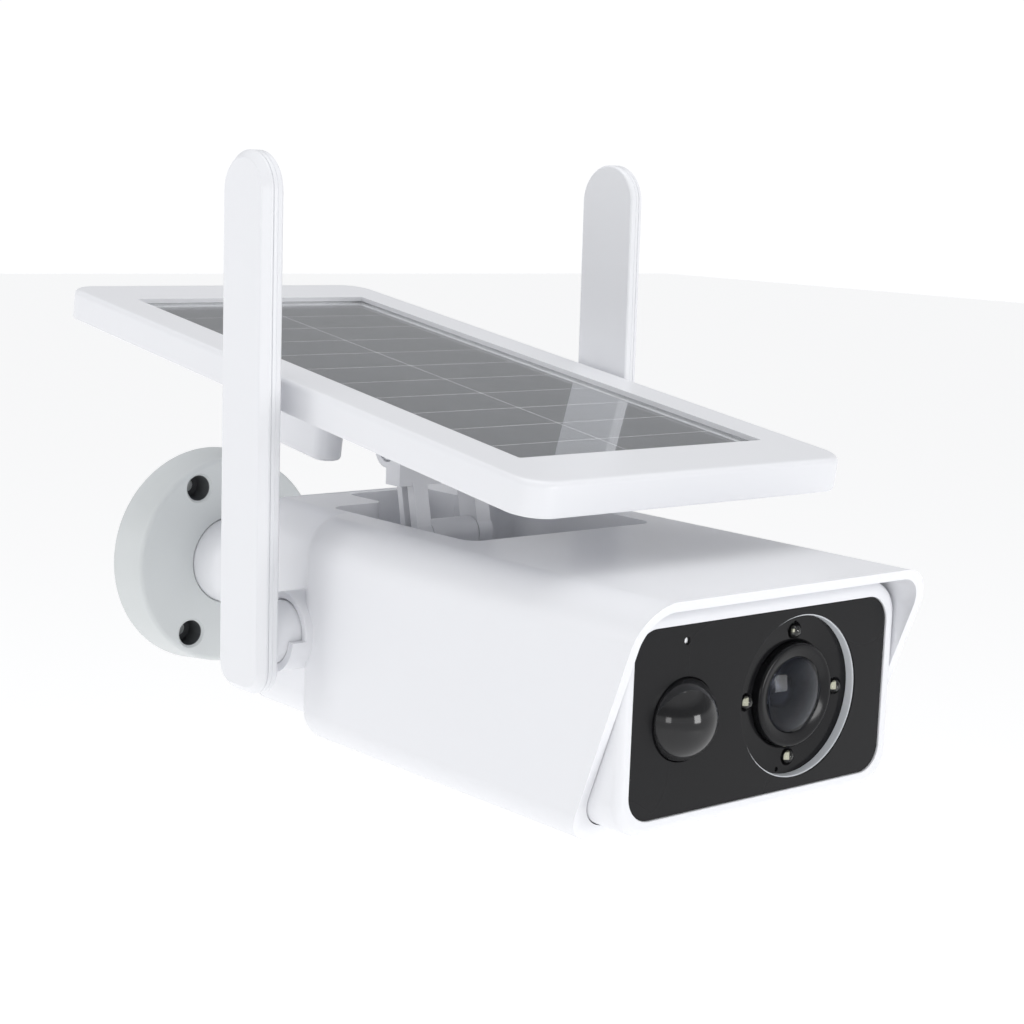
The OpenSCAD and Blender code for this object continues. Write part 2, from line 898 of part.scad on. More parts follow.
module bracket_screw_places() {
    for (x = [-17, 17], y = [-19, 5]) translate([x, y, 0]) children();
}

module panel_bracket() {
    color(white) difference() {
        union() {
            at_panel() box(-22, 22, -24, 10, -bracket_t, 0);
            at_body() {
                rod_x(barrel_eye_r, -tongue_half, tongue_half, tilt_y, tilt_z);
                box(-tongue_half, tongue_half, tilt_y - 4.5, tilt_y + 4.5, tilt_z, panel_z - bracket_t + 1);
            }
        }
        at_body() rod_x(tilt_bolt_r + fit, -20, 20, tilt_y, tilt_z);
        at_panel() bracket_screw_places() rod_z(bracket_screw_r, -5, 1);
    }
}

module bracket_screws() {
    color(steel) at_panel() bracket_screw_places() {
        rod_z(bracket_screw_r, -bracket_t, bracket_screw_l);
        rod_z(2.8, -bracket_t - 1.6, -bracket_t);
    }
}

module panel_frame() {
    color(white) at_panel() difference() {
        along_z(0, panel_t) rounded_rect(panel_w, panel_l, panel_corner);
        box(-glass_w / 2, glass_w / 2, -glass_l / 2, glass_l / 2, -1, panel_t + 1);
        box(-pocket_w / 2, pocket_w / 2, -pocket_l / 2, pocket_l / 2, -1, glass_z);
    }
}

module panel_glass() {
    color("slategray", 0.5) at_panel() box(0.1 - pocket_w / 2, pocket_w / 2 - 0.1,
        0.1 - pocket_l / 2, pocket_l / 2 - 0.1, cell_top, glass_z);
}

module solar_cells() {
    color("darkslategray") at_panel() for (i = [0:cell_columns - 1], j = [0:cell_rows - 1])
        translate([cell_margin - glass_w / 2 + i * (cell_w + cell_gap),
            cell_margin - glass_l / 2 + j * (cell_l + cell_gap), cell_top - cell_t])
            cube([cell_w, cell_l, cell_t]);
}

module panel_back() {
    color(white) at_panel() difference() {
        box(0.1 - pocket_w / 2, pocket_w / 2 - 0.1, 0.1 - pocket_l / 2, pocket_l / 2 - 0.1, 0, cell_top - cell_t);
        bracket_screw_places() rod_z(bracket_screw_r, -1, bracket_screw_l);
        box(box_x - 2, box_x + 2, box_y - 14, box_y + 8, -1, 3);
    }
}

module junction_box() {
    end_y = box_y + box_l / 2;
    gland_z = 5.5 - box_deep;
    color(white) at_panel() difference() {
        union() {
            along_z(-box_deep, 0) translate([box_x, box_y]) rounded_rect(box_w, box_l, 4.9);
            rod_y(4, end_y - 1, end_y + 5, box_x, gland_z);
        }
        box(box_x - 3.2, box_x + 3.2, box_y - 18, box_y + 18, 2 - box_deep, 1);
        rod_y(2, box_y + 10, end_y + 6, box_x, gland_z);
    }
}

// ---------- antennas ----------

// Side view of a paddle, with a round top and a blunter lower end
module paddle_outline(inset) {
    half = paddle_w / 2;
    low = -paddle_below;
    r = 8;
    translate([0, paddle_l - paddle_below - half]) circle(half - inset);
    polygon([[inset - half, low + r], [half - inset, low + r],
        [half - inset, paddle_l - paddle_below - half], [inset - half, paddle_l - paddle_below - half]]);
    polygon([[r - half, low + inset], [half - r, low + inset], [half - r, low + r], [r - half, low + r]]);
    for (s = [-1, 1]) translate([s * (half - r), low + r]) circle(r - inset);
}

module at_antenna() {
    at_body() translate([0, antenna_y, antenna_z]) rotate([-antenna_lean, 0, 0]) children();
}

strip_x = paddle_x + 2;

module antenna_front() {
    mid = paddle_x + 3.4;
    color(white) at_antenna() {
        along_x(mid, mid + 1.2) paddle_outline(0);
        along_x(mid + 1.2, paddle_x + paddle_t) paddle_outline(1.4);
    }
}

module antenna_back() {
    mid = paddle_x + 3.4;
    color(white) at_antenna() difference() {
        union() {
            along_x(paddle_x, mid) paddle_outline(0);
            rod_x(hub_turn_r, hub_end, paddle_x + 1);
        }
        box(mid - 1.8, mid + 1, -6.5, 6.5, 8, paddle_l - paddle_below - 12);
        rod_x(hub_screw_r, hub_end - 1, hub_end + hub_screw_l);
    }
}

module antenna_strip() {
    color("peru") at_antenna() box(strip_x, strip_x + 0.8, -5, 5, 10, paddle_l - paddle_below - 14);
}

module antenna_screw() {
    color(steel) at_antenna() difference() {
        union() {
            rod_x(hub_screw_r, hub_end - 5, hub_end + hub_screw_l);
            rod_x(3.2, hub_end - 6.8, hub_end - 4);
        }
        box(hub_end - 7, hub_end - 6, -0.4, 0.4, -2, 2);
    }
}

module left_antenna_front() { mirror([1, 0, 0]) antenna_front(); }
module left_antenna_back() { mirror([1, 0, 0]) antenna_back(); }
module left_antenna_strip() { mirror([1, 0, 0]) antenna_strip(); }
module left_antenna_screw() { mirror([1, 0, 0]) antenna_screw(); }
module right_antenna_front() { antenna_front(); }
module right_antenna_back() { antenna_back(); }
module right_antenna_strip() { antenna_strip(); }
module right_antenna_screw() { antenna_screw(); }

wall_plate();
clamp_ring();
clamp_screws();
swivel_dome();
pivot_bolt();
neck_arm();
neck_stud();
jam_nut();
outer_shell();
core_housing();
rear_cap();
rear_screws();
stud_insert();
front_bezel();
front_plate();
lens_ring();
lens_dish();
lens_barrel();
front_lens();
rear_lenses();
lens_holder();
sensor_board();
led_lamps();
led_board();
pir_lens();
pir_sensor();
microphone();
main_board();
speaker();
battery_cells();
battery_tray();
port_board();
port_plate();
usb_socket();
card_slot();
power_button();
reset_button();
port_cover();
cover_pin();
arm_base();
arm_base_screws();
arm_pin();
panel_arm();
tilt_bolt();
tilt_nut();
panel_bracket();
bracket_screws();
panel_frame();
panel_glass();
solar_cells();
panel_back();
junction_box();
left_antenna_front();
left_antenna_back();
left_antenna_strip();
left_antenna_screw();
right_antenna_front();
right_antenna_back();
right_antenna_strip();
right_antenna_screw();
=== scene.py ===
"""Solar-powered outdoor camera: shells, optics, solar panel, antennas and wall bracket."""
import json
from math import atan2, cos, pi, radians, sin

import bmesh
import bpy
from mathutils import Matrix, Vector


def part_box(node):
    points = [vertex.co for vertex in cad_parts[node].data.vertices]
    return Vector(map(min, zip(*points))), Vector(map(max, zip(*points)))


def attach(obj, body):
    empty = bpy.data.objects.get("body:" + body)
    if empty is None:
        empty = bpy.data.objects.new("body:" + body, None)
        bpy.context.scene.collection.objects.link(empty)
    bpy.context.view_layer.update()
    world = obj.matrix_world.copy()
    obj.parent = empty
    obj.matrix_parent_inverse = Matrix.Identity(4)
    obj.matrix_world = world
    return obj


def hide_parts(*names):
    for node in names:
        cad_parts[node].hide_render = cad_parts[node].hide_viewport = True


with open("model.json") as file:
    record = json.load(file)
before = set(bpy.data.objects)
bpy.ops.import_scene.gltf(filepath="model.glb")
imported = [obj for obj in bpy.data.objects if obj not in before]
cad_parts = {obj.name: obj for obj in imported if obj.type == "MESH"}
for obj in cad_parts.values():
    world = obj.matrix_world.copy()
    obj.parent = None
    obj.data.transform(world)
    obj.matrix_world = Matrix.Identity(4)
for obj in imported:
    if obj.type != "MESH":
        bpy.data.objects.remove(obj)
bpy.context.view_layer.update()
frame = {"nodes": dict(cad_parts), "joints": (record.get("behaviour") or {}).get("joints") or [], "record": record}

MM = 0.001
ROUND = 2 * pi

# ---------- frames of reference, in millimetres from here on ----------


def place_at(point, slope=0.0):
    """A frame in millimetres with its origin at a point in metres, turned about X."""
    return Matrix.Translation(point) @ Matrix.Rotation(slope, 4, "X") @ Matrix.Scale(MM, 4)


def span(node, place):
    """Lowest and highest corner of a CAD node, measured in a frame."""
    inverse = place.inverted()
    points = [inverse @ vertex.co for vertex in frame["nodes"][node].data.vertices]
    low = Vector(min(p[i] for p in points) for i in range(3))
    high = Vector(max(p[i] for p in points) for i in range(3))
    return low, high


def joint_point(name):
    """The point that a joint turns or slides about, in metres."""
    return next(Vector(j["pos_m"]) for j in frame["joints"] if j["name"] == name)


def middle_of(node):
    """Middle of a CAD node's box, in metres."""
    low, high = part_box(node)
    return (low + high) / 2


def flat_slope(node):
    """Slope about X of a node's largest face."""
    faces = frame["nodes"][node].data.polygons
    normal = max(faces, key=lambda face: face.area).normal
    return atan2(-normal.y, normal.z) if normal.z > 0 else atan2(normal.y, -normal.z)


# Each frame has X to the right and Y away from the viewer; their origins are the wall's face, the
# middle of the black window, the lens, the motion sensor and the underside of the panel.
WALL = place_at((0, 0, 0))
plate_middle = middle_of("front_plate")
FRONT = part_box("front_plate")[0].y
BODY = place_at((0, FRONT, plate_middle.z))
lens_middle = middle_of("lens_barrel")
LENS = place_at((lens_middle.x, FRONT, lens_middle.z))
pir_middle = middle_of("pir_lens")
PIR = place_at((pir_middle.x, FRONT, pir_middle.z))
PANEL_SLOPE = flat_slope("panel_glass")
tilted = place_at((0, 0, 0), PANEL_SLOPE)
panel_low, panel_high = span("panel_frame", tilted)
panel_foot = Vector((0, (panel_low.y + panel_high.y) / 2, panel_low.z))
PANEL = place_at(tilted @ panel_foot, PANEL_SLOPE)

# ---------- outlines, as lists of points in a plane ----------


def arc(x, y, r, start, end, steps):
    """Points round a centre, with the angles in degrees."""
    turns = [radians(start + (end - start) * i / steps) for i in range(steps + 1)]
    return [(x + r * cos(t), y + r * sin(t)) for t in turns]


def rounded_rect(w, h, r, x=0.0, y=0.0, steps=10):
    """Rectangle with round corners, about its middle."""
    a, b = w / 2 - r, h / 2 - r
    return (arc(x + a, y - b, r, -90, 0, steps) + arc(x + a, y + b, r, 0, 90, steps)
            + arc(x - a, y + b, r, 90, 180, steps) + arc(x - a, y - b, r, 180, 270, steps))


# ---------- mesh building ----------

NEAR_AXIS = 1e-6
WELD = 0.002


def skin(rings, closed=False):
    """A loft through rings of points; open lofts get a face at each end."""
    bm = bmesh.new()
    rows = [[bm.verts.new(p) for p in ring] for ring in rings]
    count = len(rows[0])
    pairs = list(zip(rows, rows[1:] + rows[:1])) if closed else list(zip(rows, rows[1:]))
    for a, b in pairs:
        for i in range(count):
            k = (i + 1) % count
            bm.faces.new((a[i], a[k], b[k], b[i]))
    if not closed:
        bm.faces.new(rows[0])
        bm.faces.new(rows[-1])
    bmesh.ops.recalc_face_normals(bm, faces=bm.faces)
    return bm


def along(axis, outline, depth):
    """Lays an outline flat at a depth along an axis."""
    if axis == "X":
        return [(depth, u, v) for u, v in outline]
    if axis == "Y":
        return [(u, depth, v) for u, v in outline]
    return [(u, v, depth) for u, v in outline]


def prism(axis, outline, start, end):
    """An outline drawn out along an axis."""
    return skin([along(axis, outline, start), along(axis, outline, end)])


def block(x0, x1, y0, y1, z0, z1):
    """A box to cut with or to fuse on, before its edges are eased."""
    return prism("Z", [(x0, y0), (x1, y0), (x1, y1), (x0, y1)], z0, z1)


def turned(profile, axis="Y", x=0.0, z=0.0, steps=96, closed=False):
    """Turns a profile of (radius, depth) points; a radius of 0 closes an end."""
    bm = bmesh.new()

    def spot(r, d, turn):
        u, v = x + r * cos(turn), z + r * sin(turn)
        return {"X": (d, u, v), "Y": (u, d, v), "Z": (u, v, d)}[axis]

    rows = []
    for r, d in profile:
        if r < NEAR_AXIS:
            rows.append([bm.verts.new(spot(0, d, 0))])
        else:
            rows.append([bm.verts.new(spot(r, d, ROUND * i / steps)) for i in range(steps)])
    pairs = list(zip(rows, rows[1:]))
    if closed:
        pairs.append((rows[-1], rows[0]))
    for a, b in pairs:
        for i in range(steps):
            k = (i + 1) % steps
            corners = [a[i % len(a)], a[k % len(a)], b[k % len(b)], b[i % len(b)]]
            bm.faces.new(list(dict.fromkeys(corners)))
    if not closed:
        for row in (rows[0], rows[-1]):
            if len(row) > 2:
                bm.faces.new(row)
    bmesh.ops.recalc_face_normals(bm, faces=bm.faces)
    return bm


def rod(axis, r, start, end, x=0.0, z=0.0, steps=48):
    """A round bar, mostly used to bore holes."""
    return turned([(r, start), (r, end)], axis, x, z, steps)


def bead(r, rise, steps=8):
    """Profile of a round-edged cap: from its rim to its middle, standing out by rise."""
    ball = (r * r + rise * rise) / (2 * rise)
    edge = atan2(r, ball - rise)
    angles = [edge * (1 - i / steps) for i in range(steps + 1)]
    return [(ball * sin(a), ball - rise - ball * cos(a)) for a in angles]


# ---------- pieces: cutting, rounding and finishing ----------


def made(name, bm):
    """Turns a bmesh into a named object in the scene."""
    mesh = bpy.data.meshes.new(name)
    bm.to_mesh(mesh)
    bm.free()
    piece = bpy.data.objects.new(name, mesh)
    bpy.context.scene.collection.objects.link(piece)
    return piece


def combine(piece, operation, others):
    """Applies one exact boolean for each tool and deletes the tool."""
    for bm in others:
        tool = made("tool", bm)
        modifier = piece.modifiers.new("combine", "BOOLEAN")
        modifier.operation = operation
        modifier.solver = "EXACT"
        modifier.object = tool
        graph = bpy.context.evaluated_depsgraph_get()
        result = bpy.data.meshes.new_from_object(piece.evaluated_get(graph))
        old = piece.data
        piece.modifiers.clear()
        piece.data = result
        bpy.data.meshes.remove(old)
        bpy.data.meshes.remove(tool.data)
    return piece


def carve(piece, *others):
    return combine(piece, "DIFFERENCE", others)


def fuse(piece, *others):
    return combine(piece, "UNION", others)


def take_mesh(piece):
    """A piece's mesh as a bmesh, for use as a tool; the piece is deleted."""
    bm = bmesh.new()
    bm.from_mesh(piece.data)
    bpy.data.meshes.remove(piece.data)
    return bm


def tidy_planes(piece):
    """Joins the coplanar faces that cutting leaves behind."""
    bm = bmesh.new()
    bm.from_mesh(piece.data)
    bmesh.ops.remove_doubles(bm, verts=bm.verts, dist=WELD)
    bmesh.ops.dissolve_limit(bm, angle_limit=radians(0.3), verts=bm.verts, edges=bm.edges)
    bm.to_mesh(piece.data)
    bm.free()
    return piece


def ease(piece, width, steps=3, where=None, angle=32):
    """Rounds the edges sharper than an angle, where the edge's middle passes the test."""
    bm = bmesh.new()
    bm.from_mesh(piece.data)
    bmesh.ops.remove_doubles(bm, verts=bm.verts, dist=WELD)
    bmesh.ops.dissolve_degenerate(bm, edges=bm.edges, dist=WELD)
    sharp = []
    for edge in bm.edges:
        if len(edge.link_faces) == 2 and edge.calc_face_angle(0) > radians(angle):
            if where is None or where((edge.verts[0].co + edge.verts[1].co) / 2):
                sharp.append(edge)
    bmesh.ops.bevel(bm, geom=sharp, offset=width, offset_type="OFFSET", segments=steps,
                    profile=0.5, affect="EDGES", clamp_overlap=True, miter_outer="ARC")
    bm.to_mesh(piece.data)
    bm.free()
    return piece


def settle(piece, place, body, *materials, nodes=(), slot=None, mirror=False, crease=38):
    """Puts a piece where it belongs, shades it and lets it ride on its body."""
    mesh = piece.data
    if mirror:
        mesh.transform(Matrix.Scale(-1, 4, (1, 0, 0)))
        mesh.flip_normals()
    mesh.transform(place)
    mesh.materials.clear()
    for material in materials:
        mesh.materials.append(material)
    mesh.polygons.foreach_set("use_smooth", [True] * len(mesh.polygons))
    mesh.set_sharp_from_angle(angle=radians(crease))
    weighted = piece.modifiers.new("weighted", "WEIGHTED_NORMAL")
    weighted.keep_sharp = True
    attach(piece, body)
    if nodes:
        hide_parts(*nodes)
    return piece


# ---------- surface effects shared by the materials ----------


def new_group(name, inputs, outputs):
    """A node group with number sockets, and its two end nodes."""
    tree = bpy.data.node_groups.new(name, "ShaderNodeTree")
    for label, value in inputs.items():
        socket = tree.interface.new_socket(label, in_out="INPUT", socket_type="NodeSocketFloat")
        socket.default_value = value
    for label in outputs:
        tree.interface.new_socket(label, in_out="OUTPUT", socket_type="NodeSocketFloat")
    return tree, tree.nodes.new("NodeGroupInput"), tree.nodes.new("NodeGroupOutput")


def noise(tree, scale, detail=3.0, roughness=0.5, vector=None):
    """Noise in the object's own coordinates, unless another vector is given."""
    node = tree.nodes.new("ShaderNodeTexNoise")
    node.inputs["Detail"].default_value = detail
    node.inputs["Roughness"].default_value = roughness
    if vector is None:
        vector = tree.nodes.new("ShaderNodeTexCoord").outputs["Object"]
    tree.links.new(vector, node.inputs["Vector"])
    if isinstance(scale, (int, float)):
        node.inputs["Scale"].default_value = scale
    else:
        tree.links.new(scale, node.inputs["Scale"])
    return node.outputs["Fac"]


def remap(tree, value, from_low, from_high, to_low, to_high):
    """Stretches one range of values over another and clamps the ends."""
    node = tree.nodes.new("ShaderNodeMapRange")
    tree.links.new(value, node.inputs["Value"])
    for label, amount in (("From Min", from_low), ("From Max", from_high),
                          ("To Min", to_low), ("To Max", to_high)):
        if isinstance(amount, (int, float)):
            node.inputs[label].default_value = amount
        else:
            tree.links.new(amount, node.inputs[label])
    return node.outputs["Result"]


def maths(tree, operation, *values):
    """One maths node; its inputs are numbers or sockets."""
    node = tree.nodes.new("ShaderNodeMath")
    node.operation = operation
    for socket, value in zip(node.inputs, values):
        if isinstance(value, (int, float)):
            socket.default_value = value
        else:
            tree.links.new(value, socket)
    return node.outputs[0]


def moulded_group():
    """Fine moulding grain, and broad patches where hands have polished it."""
    tree, inside, out = new_group(
        "moulded_grain", {"Grain size": 2600.0, "Rough low": 0.3, "Rough high": 0.4},
        ["Height", "Roughness", "Patch"])
    fine = noise(tree, inside.outputs["Grain size"], 3.0, 0.6)
    patch = noise(tree, 24.0, 1.0, 0.5)
    tree.links.new(fine, out.inputs["Height"])
    rough = remap(tree, patch, 0.3, 0.7, inside.outputs["Rough low"], inside.outputs["Rough high"])
    tree.links.new(rough, out.inputs["Roughness"])
    tree.links.new(remap(tree, patch, 0.35, 0.68, 0.0, 1.0), out.inputs["Patch"])
    return tree


def dust_group():
    """Dust that settles on faces that look up, thicker in broad patches."""
    tree, inside, out = new_group("settled_dust", {"Amount": 0.1, "Fineness": 900.0}, ["Dust"])
    geometry = tree.nodes.new("ShaderNodeNewGeometry")
    split = tree.nodes.new("ShaderNodeSeparateXYZ")
    tree.links.new(geometry.outputs["Normal"], split.inputs[0])
    upward = remap(tree, split.outputs["Z"], -0.2, 1.0, 0.25, 1.0)
    specks = remap(tree, noise(tree, inside.outputs["Fineness"], 5.0, 0.7), 0.5, 0.78, 0.0, 1.0)
    film = remap(tree, noise(tree, 45.0, 3.0), 0.35, 0.75, 0.25, 1.0)
    both = maths(tree, "MULTIPLY", maths(tree, "MULTIPLY", specks, film), upward)
    tree.links.new(maths(tree, "MULTIPLY", both, inside.outputs["Amount"]), out.inputs["Dust"])
    return tree


def brushed_group():
    """Long fine scratches along one way of a metal surface."""
    tree, inside, out = new_group(
        "brushed_lines", {"Rough low": 0.2, "Rough high": 0.38}, ["Height", "Roughness"])
    stretch = tree.nodes.new("ShaderNodeMapping")
    stretch.inputs["Scale"].default_value = (1.0, 0.06, 1.0)
    place = tree.nodes.new("ShaderNodeTexCoord")
    tree.links.new(place.outputs["Object"], stretch.inputs["Vector"])
    lines = noise(tree, 5200.0, 2.0, 0.5, stretch.outputs["Vector"])
    tree.links.new(lines, out.inputs["Height"])
    rough = remap(tree, lines, 0.3, 0.7, inside.outputs["Rough low"], inside.outputs["Rough high"])
    tree.links.new(rough, out.inputs["Roughness"])
    return tree


MOULDED = moulded_group()
DUST = dust_group()
BRUSHED = brushed_group()


def shader(name, colour, **settings):
    """A material with a Principled shader whose plain values are set on its own sockets."""
    material = bpy.data.materials.new(name)
    material.use_nodes = True
    tree = material.node_tree
    surface = tree.nodes["Principled BSDF"]
    surface.inputs["Base Color"].default_value = (*colour, 1.0)
    for label, value in settings.items():
        surface.inputs[label.replace("_", " ")].default_value = value
    return material, tree, surface


def put_group(tree, group, **values):
    """A shared effect with plain values on its sockets."""
    node = tree.nodes.new("ShaderNodeGroup")
    node.node_tree = group
    for label, value in values.items():
        node.inputs[label.replace("_", " ")].default_value = value
    return node


def add_bump(tree, surface, height, depth):
    """Relief of a depth in metres."""
    bump = tree.nodes.new("ShaderNodeBump")
    bump.inputs["Distance"].default_value = depth
    bump.inputs["Strength"].default_value = 1.0
    tree.links.new(height, bump.inputs["Height"])
    tree.links.new(bump.outputs["Normal"], surface.inputs["Normal"])


def blend_colours(tree, mask, colour_a, colour_b):
    """Mixes two colours or sockets by a mask."""
    mix = tree.nodes.new("ShaderNodeMix")
    mix.data_type = "RGBA"
    tree.links.new(mask, mix.inputs[0])
    for socket, colour in ((mix.inputs[6], colour_a), (mix.inputs[7], colour_b)):
        if isinstance(colour, tuple):
            socket.default_value = (*colour, 1.0)
        else:
            tree.links.new(colour, socket)
    return mix.outputs[2]


def moulded(name, colour, shade, rough=(0.3, 0.42), depth=0.000006, size=2600.0, dust=0.0, **settings):
    """Moulded plastic or rubber: grain, polished patches, a slight drift of colour and dust."""
    material, tree, surface = shader(name, colour, **settings)
    grain = put_group(tree, MOULDED, Grain_size=size, Rough_low=rough[0], Rough_high=rough[1])
    tinted = blend_colours(tree, grain.outputs["Patch"], colour, shade)
    if dust:
        film = put_group(tree, DUST, Amount=dust)
        tinted = blend_colours(tree, film.outputs["Dust"], tinted, (0.5, 0.49, 0.47))
    tree.links.new(tinted, surface.inputs["Base Color"])
    tree.links.new(grain.outputs["Roughness"], surface.inputs["Roughness"])
    add_bump(tree, surface, grain.outputs["Height"], depth)
    return material


def metal(name, colour, rough=(0.22, 0.38), depth=0.000003):
    """Bare metal with fine scratches along it."""
    material, tree, surface = shader(name, colour, Metallic=1.0)
    lines = put_group(tree, BRUSHED, Rough_low=rough[0], Rough_high=rough[1])
    tree.links.new(lines.outputs["Roughness"], surface.inputs["Roughness"])
    add_bump(tree, surface, lines.outputs["Height"], depth)
    return material


def clear(name, colour, **settings):
    """Polished clear glass or resin with a faint film."""
    material, tree, surface = shader(name, colour, Transmission_Weight=1.0, **settings)
    grain = put_group(tree, MOULDED, Grain_size=400.0, Rough_low=0.01, Rough_high=0.04)
    tree.links.new(grain.outputs["Roughness"], surface.inputs["Roughness"])
    return material


def cell_material():
    """Silicon: fine contact fingers across and a mottled blue-grey tone."""
    material, tree, surface = shader("silicon_cells", (0.09, 0.095, 0.105))
    place = tree.nodes.new("ShaderNodeTexCoord").outputs["Object"]
    split = tree.nodes.new("ShaderNodeSeparateXYZ")
    tree.links.new(place, split.inputs[0])
    along_cell = maths(tree, "MULTIPLY", split.outputs["Y"], 1 / MM)
    finger = maths(tree, "GREATER_THAN", maths(tree, "PINGPONG", along_cell, 0.8), 0.7)
    tone = remap(tree, noise(tree, 55.0, 5.0, 0.65), 0.3, 0.7, 0.0, 1.0)
    silicon = blend_colours(tree, tone, (0.052, 0.057, 0.068), (0.07, 0.076, 0.088))
    lined = blend_colours(tree, maths(tree, "MULTIPLY", finger, 0.15), silicon, (0.3, 0.31, 0.33))
    tree.links.new(lined, surface.inputs["Base Color"])
    tree.links.new(remap(tree, tone, 0.0, 1.0, 0.28, 0.4), surface.inputs["Roughness"])
    return material


# A moulded finish has a colour, the colour it drifts to in patches, and a range of roughness.
white = moulded("white_casing", (0.79, 0.797, 0.825), (0.786, 0.793, 0.821), rough=(0.31, 0.34),
               depth=0.000001)
antenna_white = moulded("antenna_white", (0.8, 0.808, 0.835), (0.796, 0.804, 0.831), rough=(0.34, 0.37),
                       depth=0.000001)
painted = moulded("painted_casting", (0.62, 0.645, 0.65), (0.58, 0.605, 0.61), rough=(0.34, 0.46),
                  depth=0.00003, size=1100.0, dust=0.05, Coat_Weight=0.15)
# Near-black lining for the screw wells: painted shade standing in for the darkness deep inside the wells.
well_shade_lining = moulded("well_shade_lining", (0.1, 0.105, 0.11), (0.07, 0.075, 0.08), rough=(0.5, 0.65),
                       depth=0.00002, size=1100.0)
charcoal = moulded("black_window", (0.011, 0.011, 0.012), (0.009, 0.009, 0.01), rough=(0.2, 0.3),
                   depth=0.000001, Specular_IOR_Level=0.18)
gloss_black = moulded("gloss_black", (0.009, 0.009, 0.01), (0.007, 0.007, 0.008), rough=(0.12, 0.2),
                      depth=0.000001, Specular_IOR_Level=0.2)
satin_black = moulded("satin_black", (0.012, 0.012, 0.013), (0.015, 0.015, 0.016), rough=(0.36, 0.5),
                      depth=0.000004, Specular_IOR_Level=0.2)
dark_plastic = moulded("dark_plastic", (0.045, 0.045, 0.05), (0.035, 0.035, 0.04), rough=(0.4, 0.55))
smoked = moulded("smoked_dome", (0.007, 0.007, 0.008), (0.01, 0.01, 0.011), rough=(0.07, 0.12),
                 depth=0.0000006, size=1400.0, Specular_IOR_Level=0.42)
edge_white = moulded("polished_edge", (0.72, 0.745, 0.78), (0.68, 0.705, 0.74), rough=(0.16, 0.26))
backsheet = moulded("white_backsheet", (0.84, 0.85, 0.86), (0.78, 0.79, 0.8), rough=(0.4, 0.5))
rubber = moulded("white_rubber", (0.7, 0.72, 0.735), (0.66, 0.68, 0.695), rough=(0.5, 0.66), depth=0.00001,
                 dust=0.08)
board = moulded("solder_mask", (0.02, 0.12, 0.06), (0.015, 0.1, 0.05), rough=(0.25, 0.4))
sleeve = moulded("cell_sleeve", (0.03, 0.22, 0.1), (0.025, 0.19, 0.09), rough=(0.2, 0.32))
red_plastic = moulded("red_button", (0.5, 0.03, 0.02), (0.44, 0.025, 0.018), rough=(0.35, 0.5))
chip = moulded("lamp_chip", (0.5, 0.5, 0.4), (0.42, 0.42, 0.34), rough=(0.3, 0.45))
steel = metal("plain_steel", (0.6, 0.61, 0.63))
plated = metal("plated_steel", (0.86, 0.87, 0.89), rough=(0.38, 0.52))
bright_steel = metal("bright_steel", (0.72, 0.73, 0.75), rough=(0.12, 0.25))
brass = metal("turned_brass", (0.72, 0.5, 0.22))
copper = metal("bare_copper", (0.75, 0.38, 0.22))
silicon = cell_material()
solar_glass = clear("solar_glass", (0.97, 0.98, 0.99), IOR=1.36)
lens_glass = clear("lens_glass", (0.5, 0.53, 0.62), IOR=1.22)
resin = clear("lamp_resin", (0.95, 0.95, 0.9), IOR=1.48)

# ---------- wall bracket ----------

plate_low, plate_high = span("wall_plate", WALL)
dome_low, _ = span("swivel_dome", WALL)
neck_low, _ = span("neck_arm", WALL)
PLATE_R = plate_high.x
PLATE_T = -plate_low.y
PIVOT = -joint_point("neck_tilt").y / MM
DOME_R = -dome_low.y - PIVOT
PLATE_FACE_R = PLATE_R - 3.5
EDGE_R = 1.8
WELL_R = 4.55
SLOT_HALF, SLOT_R = 4.3, 8.2
NECK_R = 7
screw_circle = next(m for m in frame["record"]["mounts"] if m["name"] == "wall_bolts")["dims"]
SCREW_TURNS = [radians(a - 2.9) for a in (0, 120, 240)]
circle_r = screw_circle["pcd_mm"] / 2
SCREW_WELLS = [(circle_r * cos(a), circle_r * sin(a)) for a in SCREW_TURNS]


def wall_plate():
    """Hollow casting with a rounded rim, a seat for the dome's flange and three screw wells."""
    front = -PLATE_T
    rim = [(PLATE_FACE_R + EDGE_R * sin(t), front + EDGE_R - EDGE_R * cos(t))
           for t in (radians(9 * i) for i in range(10))]
    hollow = PLATE_FACE_R - 0.2
    lip = DOME_R + 0.15
    rib_outer, rib_inner, pocket = 28, 25.2, 20.3
    profile = [(lip, front + 0.5), (lip + 0.5, front)] + rim + [
        (PLATE_R, -0.5), (PLATE_R - 0.5, 0), (hollow, 0), (hollow, front + 3.4),
        (rib_outer, front + 3.4), (rib_outer, 0), (rib_inner, 0), (rib_inner, front + 6.2),
        (pocket, front + 6.2), (pocket, front + 2.8), (lip, front + 2.8)]
    piece = made("wall_plate_casting", turned(profile, steps=128, closed=True))
    fuse(piece, *[rod("Y", 6.5, front + 1, 0, x, z) for x, z in SCREW_WELLS])
    well = [(5.6, front - 0.2), (5.3, front), (WELL_R, front + 0.8), (WELL_R, front + 9)]
    carve(piece, *[rod("Y", screw_circle["hole_r_mm"], front - 1, 1, x, z) for x, z in SCREW_WELLS],
          *[turned(well, x=x, z=z, steps=48) for x, z in SCREW_WELLS])
    ease(piece, 0.35, 2, angle=50)
    settle(piece, WALL, "wall_plate", painted, nodes=["wall_plate"], slot="painted_metal")


